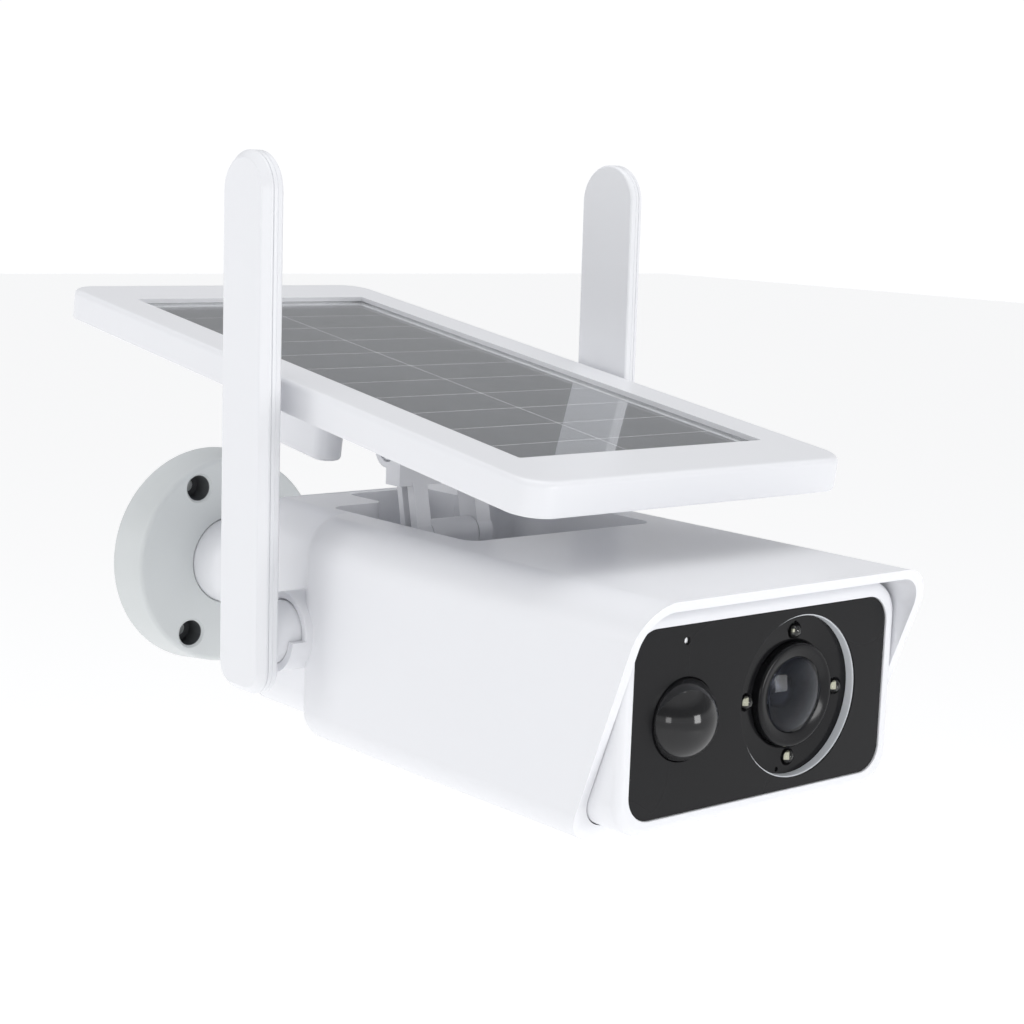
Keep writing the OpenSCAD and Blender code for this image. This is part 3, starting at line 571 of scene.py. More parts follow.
def screw_wells():
    """Dark lining of each screw well, painted shade for the well's depth, with a seat for the screw's head."""
    top, seat = 0.9 - PLATE_T, 8.8 - PLATE_T
    outer, inner, bore = 4.53, 4.38, 2.4
    profile = [(outer, top), (outer, seat + 0.18), (bore, seat + 0.18), (bore, seat), (inner, seat),
               (inner, top)]
    for i, (x, z) in enumerate(SCREW_WELLS):
        piece = made(f"screw_well_{i + 1}", turned(profile, x=x, z=z, steps=48, closed=True))
        settle(piece, WALL, "wall_plate", well_shade_lining, slot="painted_metal")


def swivel_dome():
    """Half ball on a short collar, slotted for the neck's tongue."""
    ball = [(DOME_R * sin(t), -PIVOT - DOME_R * cos(t)) for t in (radians(5 * i) for i in range(19))]
    flange_r, flange_front, flange_back = 20, -PLATE_T + 3, -PLATE_T + 6
    profile = ball + [(DOME_R, flange_front), (flange_r, flange_front), (flange_r, flange_back),
                      (0, flange_back)]
    piece = made("swivel_dome_ball", turned(profile, steps=96))
    reach = 30
    most_tilt = radians(45)
    sweep = [(-PIVOT + SLOT_R, -2.0)] + [(-PIVOT + SLOT_R * cos(t), SLOT_R * sin(t))
                                         for t in (radians(10 * i) for i in range(10))]
    sweep += [(-PIVOT - reach, SLOT_R), (-PIVOT - reach * cos(most_tilt) - 12, -reach),
              (-PIVOT - reach * cos(most_tilt) + 6, -reach),
              (-PIVOT + SLOT_R * sin(most_tilt), -SLOT_R * cos(most_tilt))]
    carve(piece, prism("X", sweep, -SLOT_HALF, SLOT_HALF), rod("X", 4.5, 12, 30, -PIVOT, 0))
    ease(piece, 0.5, 3, angle=40)
    settle(piece, WALL, "dome", white, nodes=["swivel_dome"], slot="white_plastic")


def pivot_bolt():
    """Bolt across the dome's slot, with a hexagon socket in its head."""
    shank, tip, under_head, head_top = 2.5, -12.2, 12, 14.8
    profile = [(0, tip), (shank, tip), (shank, under_head), (4.3, under_head), (4.3, 14.2),
               (3.7, head_top), (0, head_top)]
    bolt = made("pivot_bolt_head", turned(profile, "X", -PIVOT, 0, 48))
    hexagon = arc(-PIVOT, 0, 2.0, 0, 300, 5)
    carve(bolt, prism("X", hexagon, 13.2, 16))
    settle(bolt, WALL, "dome", steel, nodes=["pivot_bolt"], slot="steel")


def neck_arm():
    """Turned neck with a flared collar, two grip rings and a flat tongue for the pivot."""
    front, tail = neck_low.y, -PIVOT - 19
    collar_r, steps = NECK_R + 1.9, 8
    profile = [(0, front), (8.6, front), (9.4, front + 0.8), (9.4, front + 4), (collar_r, front + 4.8)]
    profile += [(collar_r - 1.9 * (1 - cos(pi * i / steps)) / 2, front + 4.8 + 5.5 * i / steps)
                for i in range(1, steps + 1)]
    for ring in (22, 26):
        profile += [(NECK_R, front + ring), (NECK_R - 0.4, front + ring + 0.5),
                    (NECK_R - 0.4, front + ring + 1.5), (NECK_R, front + ring + 2)]
    profile += [(NECK_R, tail - 3)] + [(NECK_R - 2.6 * (1 - cos(t)), tail - 3 + 3 * sin(t))
                                       for t in (radians(15 * i) for i in range(1, 7))] + [(0, tail)]
    piece = made("neck_arm_turned", turned(profile, steps=80))
    tongue = [(-PIVOT + 7.5 * cos(t), 7.5 * sin(t)) for t in (radians(-90 + 10 * i) for i in range(19))]
    tongue += [(-PIVOT - 6, 5.5), (tail - 1, 5.5), (tail - 1, -5.5), (-PIVOT - 6, -5.5)]
    fuse(piece, prism("X", tongue, -4, 4))
    carve(piece, rod("X", 2.6, -10, 10, -PIVOT, 0))
    ease(piece, 0.5, 3, angle=45)
    settle(piece, WALL, "neck", white, nodes=["neck_arm"], slot="white_plastic")


def jam_nut():
    """Knurled nut: a toothed ring with eased faces."""
    low, high = span("jam_nut", WALL)
    teeth, tip_r, root_r = 30, 9.0, 8.5
    outline = []
    for i in range(teeth * 4):
        turn = ROUND * i / (teeth * 4)
        r = tip_r if i % 4 in (0, 1) else root_r
        outline.append((r * cos(turn), r * sin(turn)))
    small = [(x * 0.93, z * 0.93) for x, z in outline]
    rings = [along("Y", small, low.y), along("Y", outline, low.y + 0.6),
             along("Y", outline, high.y - 0.6), along("Y", small, high.y)]
    piece = made("jam_nut_knurled", skin(rings))
    carve(piece, rod("Y", 3.0, low.y - 1, high.y + 1))
    settle(piece, WALL, "neck", steel, nodes=["jam_nut"], slot="steel")


# ---------- camera body ----------

# SIDE and LOW are the wide part's reach from the middle, sideways and down; REAR_SIDE and
# REAR_LOW are the narrower rear's.
shell_low, shell_high = span("outer_shell", BODY)
cap_low, cap_high = span("rear_cap", BODY)
TOP = shell_high.z
LOW = -shell_low.z
STOP_X = shell_high.x
BOSS_X = STOP_X - 4.5
SIDE = BOSS_X - 2.5
REAR_SIDE = cap_high.x
REAR_LOW = -cap_low.z
SHELL_END = shell_high.y
STEP_Y = 138.0
STEP_R = 7.0
SKIN = 2.8
CORNER_TOP, CORNER_LOW = 12.0, 9.0
HOOD_MID, HOOD_LEAN = 2.4, 0.38
antenna_pivot = BODY.inverted() @ joint_point("left_antenna_turn")
fold_pin = BODY.inverted() @ joint_point("arm_fold")
tilt_pin = BODY.inverted() @ joint_point("panel_tilt")
RECESS = {"half": 35.5, "front": 81.0, "back": 150.0, "channel": 15.0, "end": 169.0, "floor": 17.0}
BOSS_R = 11.8
REAR_SCREWS = [(x, z) for x in (-36, 36) for z in (-20, 20)]


def body_outline(half, top, low, inset=0.0):
    """The body's cross-section: blunt corners above that meet the flat top in a faint crease."""
    upper_r, lower_r = CORNER_TOP - inset, CORNER_LOW - inset
    upper, lower = top - CORNER_TOP, CORNER_LOW - low
    crease = 84
    lift = upper_r * (1 - sin(radians(crease)))
    shoulder = arc(half - CORNER_TOP, upper, upper_r, 0, crease, 16)
    right = arc(half - CORNER_LOW, lower, lower_r, -90, 0, 12) + [
        (x, z + lift * (z - upper) / upper_r) for x, z in shoulder]
    return right + [(-x, z) for x, z in reversed(right)]


def cavity_outline():
    """Inside of the wide part: its lower half follows the front housing with a thin gap."""
    corner, floor = 9.8, 29.25
    upper = [(x, z) for x, z in body_outline(SIDE, TOP, LOW, SKIN) if x > 0 and z > 0]
    right = arc(SIDE - SKIN - corner, corner - floor, corner, -90, 0, 12) + upper
    return right + [(-x, z) for x, z in reversed(right)]


def recess_outline(grow):
    """Plan of the top recess and the channel behind it, with rounded corners."""
    half, channel = RECESS["half"] + grow, RECESS["channel"] + grow
    front, back, end = RECESS["front"] - grow, RECESS["back"] + grow, RECESS["end"] + grow
    r = 5.0
    right = (arc(half - r, front + r, r, -90, 0, 6) + arc(half - r, back - r, r, 0, 90, 6)
             + [(channel + 2, back), (channel, back + 2)] + arc(channel - 3, end - 3, 3, 0, 90, 5))
    return right + [(-x, y) for x, y in reversed(right)]


def outer_shell():
    """Outer skin with a slanted hood, a stepped-in rear and a tub in its top."""
    stations = [(-20.0, SIDE, LOW), (STEP_Y - STEP_R, SIDE, LOW)]
    for i in range(1, 8):
        turn = radians(90 * i / 7)
        drop = 1 - cos(turn)
        stations.append((STEP_Y - STEP_R + STEP_R * sin(turn), SIDE - STEP_R * drop,
                         LOW - (LOW - REAR_LOW) * drop))
    stations += [(STEP_Y + 0.6, REAR_SIDE + 0.4, REAR_LOW), (STEP_Y + 1.6, REAR_SIDE, REAR_LOW),
                 (SHELL_END, REAR_SIDE, REAR_LOW)]
    piece = made("outer_shell_skin", skin([along("Y", body_outline(h, TOP, b), y) for y, h, b in stations]))
    cavity = made("cavity", prism("Y", cavity_outline(), -30, STEP_Y - SKIN))
    fuse(cavity, prism("Y", body_outline(REAR_SIDE, TOP, REAR_LOW, SKIN), STEP_Y - SKIN - 5, SHELL_END + 5))
    carve(cavity, prism("Z", recess_outline(2.0), RECESS["floor"] - 2, TOP + 5))
    carve(piece, take_mesh(cavity))
    far = 70
    hood = [(-far, -far), (HOOD_MID + HOOD_LEAN * far, -far), (HOOD_MID - HOOD_LEAN * far, far), (-far, far)]
    port_bay, hinge_slot = rounded_rect(40, 16, 2, 0, 30), rounded_rect(36.8, 4.6, 0.5, 0, 38.0)
    carve(piece, prism("X", hood, -80, 80),
          prism("Z", recess_outline(0.0), RECESS["floor"], TOP + 5),
          prism("Z", port_bay, -LOW - 1, SKIN - LOW + 1),
          prism("Z", hinge_slot, -LOW - 1, SKIN - LOW + 1))
    for side in (-1, 1):
        carve(piece, rod("X", 9.4, side * 54.3, side * 60, antenna_pivot.y, antenna_pivot.z))
    tidy_planes(piece)
    ease(piece, 0.9, 4, where=lambda p: p.y < 40 and p.z > -LOW + 0.5 or p.y < 20)
    ease(piece, 0.6, 3, where=lambda p: p.y > 40 and p.z > 16)
    ease(piece, 0.3, 2, angle=50)
    settle(piece, BODY, "camera", white, nodes=["outer_shell"], slot="white_plastic")


def antenna_boss(side):
    """Round boss for an antenna's hub, with a stop that stands out below and ahead of the hub."""
    y, z = antenna_pivot.y, antenna_pivot.z
    name = "left" if side < 0 else "right"
    inner, outer, bore = REAR_SIDE - 1, BOSS_X, 9.55
    profile = [(BOSS_R, inner), (BOSS_R, outer - 0.7), (BOSS_R - 0.2, outer - 0.2), (BOSS_R - 0.7, outer),
               (bore + 0.4, outer), (bore, outer - 0.4), (bore, inner)]
    piece = made(name + "_antenna_boss", turned(profile, "X", y, z, 72, closed=True))
    quarter = arc(y, z, BOSS_R, 186, 270, 14) + arc(y, z, bore, 270, 187, 14)
    fuse(piece, prism("X", quarter, outer - 2, STOP_X))
    ease(piece, 0.35, 2, angle=45)
    settle(piece, BODY, "camera", white, slot="white_plastic", mirror=side < 0)


def rear_cap():
    """Back cover with a parting line, a rounded rim and a boss for the bracket's stud."""
    front, back = SHELL_END + 0.25, SHELL_END + 3.0
    rim = [(0.35, front), (0.0, front + 0.35), (0.0, back - 1.6), (0.45, back - 0.6), (1.5, back)]
    rings = [along("Y", body_outline(REAR_SIDE - d, TOP - d, REAR_LOW - d), y) for d, y in rim]
    piece = made("rear_cap_shell", skin(rings))
    axis = -plate_middle.z / MM
    boss = turned([(0, back - 2), (11.5, back - 2), (11.5, back), (10, back + 0.5), (9.2, back + 1.4),
                   (9.0, cap_high.y - 0.6), (8.5, cap_high.y), (0, cap_high.y)], x=0, z=axis, steps=72)
    fuse(piece, boss)
    carve(piece, rod("Y", 5.0, back - 4, cap_high.y + 2, 0, axis),
          *[rod("Y", 3.2, back - 1.5, back + 2, x, z) for x, z in REAR_SCREWS])
    ease(piece, 0.3, 2, angle=50)
    settle(piece, BODY, "camera", white, nodes=["rear_cap"], slot="white_plastic")


def pan_head(name, axis, r, tall, shank, x, y, out, place, body, nodes=()):
    """Screw head with a domed top and a cross recess; out is +1 or -1 along the axis."""
    dome = [(r * cos(t), tall * sin(t)) for t in (radians(15 * i) for i in range(7))]
    profile = [(r * 0.45, -2.0), (r * 0.45, 0.0), (r, 0.0)] + dome[1:-1] + [(0, tall)]
    bm = turned([(a, shank + out * b) for a, b in profile], axis, x, y, 32)
    piece = made(name, bm)
    cut_from, cut_to = sorted((shank + out * tall * 0.35, shank + out * (tall + 1)))
    arm, thin = r * 0.62, r * 0.13
    cross = [(thin, thin), (arm, thin), (arm, -thin), (thin, -thin), (thin, -arm), (-thin, -arm),
             (-thin, -thin), (-arm, -thin), (-arm, thin), (-thin, thin), (-thin, arm), (thin, arm)]
    carve(piece, prism(axis, [(x + u, y + v) for u, v in cross], cut_from, cut_to))
    settle(piece, place, body, steel, nodes=nodes, slot="steel")


def rear_screws():
    """A screw sunk in each corner of the rear cap."""
    for i, (x, z) in enumerate(REAR_SCREWS):
        pan_head(f"rear_screw_{i + 1}", "Y", 2.8, 1.2, SHELL_END + 1.5, x, z, 1, BODY, "camera",
                 nodes=["rear_screws"] if i == 0 else ())


# ---------- front and optics ----------

bezel_low, bezel_high = span("front_bezel", BODY)
_, core_high = span("core_housing", BODY)
BEZEL_W, BEZEL_H = 2 * bezel_high.x, 2 * bezel_high.z
_, window_high = span("front_plate", BODY)
WINDOW_W, WINDOW_H = 2 * window_high.x, 2 * window_high.z
WINDOW_R = 7.3
LENS_HOLE = span("lens_ring", LENS)[1].x
BARREL_R = span("lens_barrel", LENS)[1].x
LENS_R = span("front_lens", LENS)[1].x
PIR_R = span("pir_lens", PIR)[1].x - 0.9
PIR_OUT = -span("pir_lens", PIR)[0].y


def front_housing():
    """White frame round the black window and the housing behind it, in one smooth skin."""
    soft, corner = 2.6, 9.5
    step_y, step_z = 77, 13
    port_opening = block(-19, 19, 23, 37, -40, -20)
    rim = [(soft * (1 - sin(t)), bezel_low.y + soft * (1 - cos(t)))
           for t in (radians(10 * i) for i in range(10))]
    rings = [along("Y", rounded_rect(BEZEL_W - 2 * d, BEZEL_H - 2 * d, corner - d * 0.8, steps=14), y)
             for d, y in rim + [(0.0, core_high.y)]]
    piece = made("front_housing_skin", skin(rings))
    carve(piece, prism("Y", rounded_rect(WINDOW_W + 0.3, WINDOW_H + 0.3, WINDOW_R + 0.15, steps=14), -5, 2),
          prism("Y", rounded_rect(WINDOW_W - 4, WINDOW_H - 4, 5.3), 1, 12),
          prism("Y", rounded_rect(BEZEL_W - 5, BEZEL_H - 5, 7), 9, step_y - 2.2),
          block(-60, 60, step_y, 150, step_z, 60), port_opening)
    ease(piece, 0.3, 3, angle=50)
    settle(piece, BODY, "camera", white, nodes=["front_bezel", "core_housing"], slot="white_plastic")


def front_plate():
    """Black window with holes for the lens, the motion sensor and the microphone."""
    piece = made("front_window", prism("Y", rounded_rect(WINDOW_W, WINDOW_H, WINDOW_R, steps=14), 0, 2))
    lens_x, lens_z = (LENS.translation - BODY.translation).xz / MM
    pir_x = (PIR.translation - BODY.translation).x / MM
    mic = middle_of("microphone")
    mic_x, mic_z = mic.x / MM, (mic.z - plate_middle.z) / MM
    carve(piece, rod("Y", LENS_HOLE, -1, 3, lens_x, lens_z, 128), rod("Y", PIR_R + 0.2, -1, 3, pir_x, 0, 80),
          turned([(1.2, -0.1), (0.8, 0.5), (0.8, 3)], x=mic_x, z=mic_z, steps=24))
    ease(piece, 0.15, 2, angle=50)
    settle(piece, BODY, "camera", charcoal, nodes=["front_plate"], slot="black_plastic")
    gauze = made("microphone_gauze", turned([(0, 0.75), (0.78, 0.8), (0.78, 1.0), (0, 1.0)],
                                            x=mic_x, z=mic_z, steps=20))
    settle(gauze, BODY, "camera", plated, slot="steel")


def lens_ring():
    """Pale wall of the lens opening."""
    outer, inner = LENS_HOLE - 0.03, LENS_HOLE - 0.42
    profile = [(outer, 0.45), (outer, 3), (inner, 3), (inner, 0.75), (inner + 0.15, 0.45)]
    settle(made("lens_opening_wall", turned(profile, steps=128, closed=True)), LENS, "camera", edge_white,
           nodes=["lens_ring"], slot="clear_edge")


LAMP_CIRCLE = 17.4
LAMPS = [(LAMP_CIRCLE * cos(a), LAMP_CIRCLE * sin(a)) for a in (0, pi / 2, pi, 3 * pi / 2)]


def lens_dish():
    """Black dish round the lens with a well for each lamp and two small fixing pits."""
    floor = 3.0
    inner, outer = BARREL_R + 0.12, LENS_HOLE - 0.05
    profile = [(outer, floor - 0.25), (LENS_HOLE - 0.9, floor), (BARREL_R + 1.0, floor + 0.25),
               (inner, floor + 0.9), (inner, floor + 1.6), (outer, floor + 1.6)]
    piece = made("lens_dish_plate", turned(profile, steps=128, closed=True))
    wells = [turned([(2.7, floor - 0.6), (2.55, floor + 0.15), (1.95, floor + 0.7), (1.95, floor + 3)],
                    x=x, z=z, steps=36) for x, z in LAMPS]
    pits = [turned([(0.75, floor - 0.5), (0.55, floor + 0.8)], x=x, z=z, steps=20)
            for x, z in ((0.06, 19.6), (-4.2, -20.4))]
    carve(piece, *wells, *pits)
    ease(piece, 0.12, 2, angle=50)
    settle(piece, LENS, "camera", gloss_black, nodes=["lens_dish"], slot="black_plastic")


def lens_barrel():
    """Raised ring round the lens with fine baffle steps inside its mouth."""
    profile = [(LENS_R + 0.15, 3.4), (LENS_R + 0.15, 2.0), (LENS_R + 0.5, 1.75), (12.6, 1.25), (13.4, 1.15),
               (13.9, 1.25), (14.25, 1.55), (BARREL_R, 2.0), (BARREL_R, 7), (11, 7), (11, 22), (8.6, 22),
               (8.6, 7.4), (8.2, 7.0), (8.2, 6.2), (LENS_R + 0.15, 5.8)]
    settle(made("lens_barrel_turned", turned(profile, steps=128, closed=True)), LENS, "camera", gloss_black,
           nodes=["lens_barrel"], slot="black_plastic", crease=50)
    cone = [(LENS_R + 0.1, 3.3)]
    for i in range(9):
        r = 9.6 - 0.62 * i
        cone += [(r, 3.5 + 0.42 * i), (r - 0.14, 3.62 + 0.42 * i)]
    cone += [(3.2, 7.4), (3.2, 8.2), (LENS_R + 0.1, 8.2)]
    settle(made("lens_baffle", turned(cone, steps=96, closed=True)), LENS, "camera", satin_black,
           slot="black_plastic", crease=60)


def lenses():
    """Domed front element and the smaller ones behind the stop."""
    front = [(r, y + 1.95 - 0.35) for r, y in bead(LENS_R, 2.2, 12)]
    inner = [(r * 0.93, y * 0.7 + 2.55) for r, y in reversed(bead(LENS_R, 2.2, 12))]
    profile = [(0, front[-1][1])] + front[:-1][::-1] + [(LENS_R, 3.0)] + inner[::-1][:-1] + [(0, inner[0][1])]
    piece = made("front_lens_dome", turned(profile, steps=96))
    settle(piece, LENS, "camera", lens_glass, nodes=["front_lens"], slot="lens_glass")
    small = [(r, y + 6.6) for r, y in bead(4.6, 1.5, 8)]
    second = made("second_lens", turned(small[::-1] + [(4.6, 7.2), (0, 7.2)], steps=64))
    settle(second, LENS, "camera", smoked, slot="lens_glass")


def lamps():
    """Clear domed lamps, each with a pale chip in a small cup."""
    for i, (x, z) in enumerate(LAMPS):
        dome = [(r, y + 2.75) for r, y in bead(1.8, 1.35, 8)]
        lamp = made(f"lamp_{i + 1}", turned(dome[::-1] + [(1.8, 4.4), (0, 4.4)], x=x, z=z, steps=36))
        lamp.visible_shadow = False
        settle(lamp, LENS, "camera", resin, nodes=["led_lamps"] if i == 0 else (), slot="lamp_resin")
        cup = turned([(1.75, 4.5), (1.75, 2.95), (1.45, 2.95), (0.9, 3.7), (0.0, 3.7)], x=x, z=z, steps=36)
        settle(made(f"lamp_cup_{i + 1}", cup), LENS, "camera", satin_black, slot="black_plastic")
        half = 0.3 if i == 1 else 0.7
        dot = block(x - half, x + half, 3.3, 3.75, z - half, z + half)
        settle(ease(made(f"lamp_chip_{i + 1}", dot), 0.08, 2), LENS, "camera", chip, slot="lamp_resin")


def motion_sensor():
    """Glossy smoked dome with a thin seat ring round its foot."""
    dome = bead(PIR_R, PIR_OUT, 26)
    thick, flange = 1.0, 0.9
    inner = [(r * (1 - thick / PIR_R), y + thick) for r, y in dome]
    profile = [(0, inner[-1][1])] + inner[::-1][1:] + [(PIR_R - thick, 3.0), (PIR_R + flange, 3.0)]
    profile += [(PIR_R + flange, 2.1), (PIR_R, 2.0)] + dome[:-1] + [(0, dome[-1][1])]
    piece = made("motion_sensor_dome", turned(profile, steps=112))
    settle(piece, PIR, "camera", smoked, nodes=["pir_lens"], slot="smoked_lens", crease=60)
    seat = turned([(PIR_R + 0.18, 0.1), (PIR_R + 0.18, 1.6), (PIR_R + 0.03, 1.6), (PIR_R + 0.03, -0.12),
                   (PIR_R + 0.1, -0.18)], steps=96, closed=True)
    settle(made("motion_sensor_seat", seat), PIR, "camera", gloss_black, slot="black_plastic")


# ---------- ports ----------


def port_cover():
    """Soft cover over the ports, with an eased rim, grip lines and a finger notch."""
    z = -LOW
    middle, hinge, hinge_half = 29, 38.6, 15
    outline = rounded_rect(39.4, 13.2, 1.8, 0, middle)
    rings = [along("Z", [(x * s, (y - middle) * t + middle) for x, y in outline], depth)
             for depth, s, t in ((z, 0.985, 0.955), (z + 0.35, 1, 1), (z + 2, 1, 1))]
    piece = made("port_cover_flap", skin(rings))
    fuse(piece, block(-hinge_half, hinge_half, 35, hinge, z, z + 2),
         rod("X", 1.2, -hinge_half, hinge_half, hinge, z + 1.2, 32))
    carve(piece, rod("X", 0.68, -hinge_half - 1, hinge_half + 1, hinge, z + 1.2, 24),
          rod("Z", 3.2, z - 1, z + 0.9, 0, 21.8, 32),
          *[block(-6, 6, y, y + 0.5, z - 1, z + 0.25) for y in (26, 27.2, 28.4)])
    ease(piece, 0.15, 2, angle=50)
    settle(piece, BODY, "port_cover", rubber, nodes=["port_cover"], slot="white_rubber")


# ---------- panel arm ----------

ARM_LEAN = 0.217
EYE_HALF = 8.7
ARM_IN, ARM_OUT = 9.0, 14.5
BLOCK_FRONT, BLOCK_BACK, BLOCK_FOOT = 136, 142.3, 41
BLOCK_HALF = span("panel_arm", BODY)[1].x


def arm_strip(half, z0, z1, shift=0.0):
    """Side view of a stretch of the leaning uprights."""
    y0, y1 = (fold_pin.y + ARM_LEAN * (z - fold_pin.z) + shift for z in (z0, z1))
    return [(y0 - half, z0), (y0 + half, z0), (y1 + half, z1), (y1 - half, z1)]


def panel_arm():
    """Two grooved uprights, a cross block and the barrels that hold the tilt bolt."""
    tilt_y, tilt_z = tilt_pin.y, tilt_pin.z
    piece = made("panel_arm_yoke", block(-BLOCK_HALF, BLOCK_HALF, BLOCK_FRONT, BLOCK_BACK, BLOCK_FOOT,
                                         tilt_z - 6.4))
    for side in (-1, 1):
        inner, outer = side * ARM_IN, side * ARM_OUT
        end = side * BLOCK_HALF
        lo, hi = sorted((inner, end))
        fuse(piece, rod("X", 5, inner, outer, fold_pin.y, fold_pin.z, 40),
             prism("X", arm_strip(4.25, fold_pin.z, tilt_z), inner, outer),
             rod("X", 6, inner, end, tilt_y, tilt_z, 48),
             block(lo, hi, BLOCK_FRONT, tilt_y, BLOCK_FOOT, tilt_z))
        carve(piece, prism("X", arm_strip(1.45, 24, 40.6, 0.4), side * (ARM_OUT - 2.4), side * (ARM_OUT + 1)),
              rod("X", 4.15, side * (BLOCK_HALF - 3), side * (BLOCK_HALF + 1), tilt_y, tilt_z, 40))
    carve(piece, rod("X", 2.05, -30, 30, tilt_y, tilt_z, 32))
    ease(piece, 0.45, 3, angle=40)
    settle(piece, BODY, "arm", white, nodes=["panel_arm"], slot="white_plastic")


def arm_base():
    """Foot plate with the hinge eye that the arm folds on, and its four screws."""
    floor = RECESS["floor"]
    y, z = fold_pin.y, fold_pin.z
    piece = made("arm_base_foot", prism("Z", rounded_rect(34, 24.8, 2.5, 0, y), floor, floor + 2))
    fuse(piece, block(-EYE_HALF, EYE_HALF, y - 5, y + 5, floor + 0.5, z),
         rod("X", 5, -EYE_HALF, EYE_HALF, y, z, 48))
    ease(piece, 0.4, 3, angle=45)
    settle(piece, BODY, "camera", white, nodes=["arm_base"], slot="white_plastic")
    for i, (sx, sy) in enumerate((sx, sy) for sx in (-8, 8) for sy in (-9, 9)):
        pan_head(f"arm_base_screw_{i + 1}", "Z", 2.2, 1.2, floor + 2, sx, y + sy, 1, BODY, "camera",
                 nodes=["arm_base_screws"] if i == 0 else ())


def tilt_fixings():
    """Slotted bolt head on one side and a hexagon nut on the other."""
    y, z = tilt_pin.y, tilt_pin.z
    head, tip = -BLOCK_HALF + 0.2, BLOCK_HALF - 0.4
    shank = 2
    profile = [(0, head), (3.3, head), (3.9, head + 0.5), (4.0, head + 2.8), (shank, head + 2.8),
               (shank, tip), (0, tip)]
    bolt = made("tilt_bolt_turned", turned(profile, "X", y, z, 40))
    carve(bolt, block(head - 1, head + 1.0, y - 5, y + 5, z - 0.5, z + 0.5))
    settle(bolt, BODY, "arm", plated, nodes=["tilt_bolt"], slot="steel")
    low, high = span("tilt_nut", BODY)
    nut = made("tilt_nut_hex", prism("X", arc(y, z, 4, 0, 300, 5), low.x, high.x))
    carve(nut, rod("X", 2.02, low.x - 1, high.x + 1, y, z, 32))
    settle(ease(nut, 0.25, 2), BODY, "arm", steel, nodes=["tilt_nut"], slot="steel")


# ---------- solar panel ----------

_, frame_high = span("panel_frame", PANEL)
_, glass_high = span("panel_glass", PANEL)
PANEL_W, PANEL_L, PANEL_T = 2 * frame_high.x, 2 * frame_high.y, frame_high.z
GLASS_W, GLASS_L = 2 * glass_high.x - 3.4, 2 * glass_high.y - 3.4
GLASS_TOP = glass_high.z
cells_low, cells_high = span("solar_cells", PANEL)


def panel_frame():
    """One-piece frame: softly rounded outside, with a sharp inner lip."""
    corner, ledge = 9.5, 3.6
    rim = [(0.9, 0.0), (0.25, 0.25), (0.0, 0.9), (0.0, PANEL_T - 1.9), (0.12, PANEL_T - 1.15),
           (0.5, PANEL_T - 0.5), (1.1, PANEL_T - 0.12), (1.9, PANEL_T)]
    rings = [along("Z", rounded_rect(PANEL_W - 2 * d, PANEL_L - 2 * d, corner - d * 0.6, steps=14), z)
             for d, z in rim]
    piece = made("panel_frame_moulding", skin(rings))
    carve(piece, prism("Z", rounded_rect(GLASS_W, GLASS_L, 0.6, steps=3), -1, PANEL_T + 1),
          prism("Z", rounded_rect(GLASS_W + ledge, GLASS_L + ledge, 0.8, steps=3), -1, GLASS_TOP + 0.05))
    ease(piece, 0.25, 2, angle=50)
    settle(piece, PANEL, "panel", white, nodes=["panel_frame"], slot="white_plastic")


def panel_glass():
    """Clear sheet over the cells, which lets light through to them."""
    outline = rounded_rect(2 * glass_high.x, 2 * glass_high.y, 0.8, steps=3)
    piece = made("panel_glass_sheet", prism("Z", outline, GLASS_TOP - 1.9, GLASS_TOP))
    piece.visible_shadow = False
    settle(ease(piece, 0.1, 2), PANEL, "panel", solar_glass, nodes=["panel_glass"], slot="panel_glass")


def add_prism(bm, corners, z0, z1):
    """Adds an upright prism to a mesh that is being built."""
    low = [bm.verts.new((x, y, z0)) for x, y in corners]
    high = [bm.verts.new((x, y, z1)) for x, y in corners]
    count = len(corners)
    bm.faces.new(low[::-1])
    bm.faces.new(high)
    for i in range(count):
        k = (i + 1) % count
        bm.faces.new((low[i], low[k], high[k], high[i]))


def solar_cells():
    """Two columns of cells with thin pale gaps between them."""
    columns, rows = 2, 11
    gap, clip, widen = 0.9, 0.3, 0.17
    across = (cells_high.x - cells_low.x + gap) / columns
    ahead = (cells_high.y - cells_low.y + gap) / rows
    z = GLASS_TOP - 2.35
    cells = bmesh.new()
    for i in range(columns):
        for j in range(rows):
            x0, y0 = cells_low.x + i * across - widen, cells_low.y + j * ahead - widen
            x1, y1 = x0 + across - gap + 2 * widen, y0 + ahead - gap + 2 * widen
            corners = [(x0 + clip, y0), (x1 - clip, y0), (x1, y0 + clip), (x1, y1 - clip),
                       (x1 - clip, y1), (x0 + clip, y1), (x0, y1 - clip), (x0, y0 + clip)]
            add_prism(cells, corners, z, z + 0.05)
    settle(made("solar_cell_sheet", cells), PANEL, "panel", silicon, nodes=["solar_cells"], slot="solar_cell")


def panel_back():
    """Backsheet under the cells and the moulded cover below it, with stiffening ribs."""
    wide, long = 2 * glass_high.x - 0.1, 2 * glass_high.y - 0.1
    rib = 0.6
    outline = rounded_rect(wide, long, 0.8, steps=3)
    sheet = made("panel_backsheet", prism("Z", outline, GLASS_TOP - 2.9, GLASS_TOP - 2.36))
    settle(sheet, PANEL, "panel", backsheet, slot="white_plastic")
    piece = made("panel_back_cover", prism("Z", outline, rib, GLASS_TOP - 3))
    ribs = [block(-wide / 2 + 4, wide / 2 - 4, y - rib, y + rib, 0, 1) for y in (-88, -66, -44, 52, 70, 88)]
    ribs += [block(x - rib, x + rib, -long / 2 + 6, long / 2 - 6, 0, 1) for x in (-38, 38)]
    fuse(piece, *ribs)
    ease(piece, 0.2, 2, angle=50)
    settle(piece, PANEL, "panel", white, nodes=["panel_back"], slot="white_plastic")


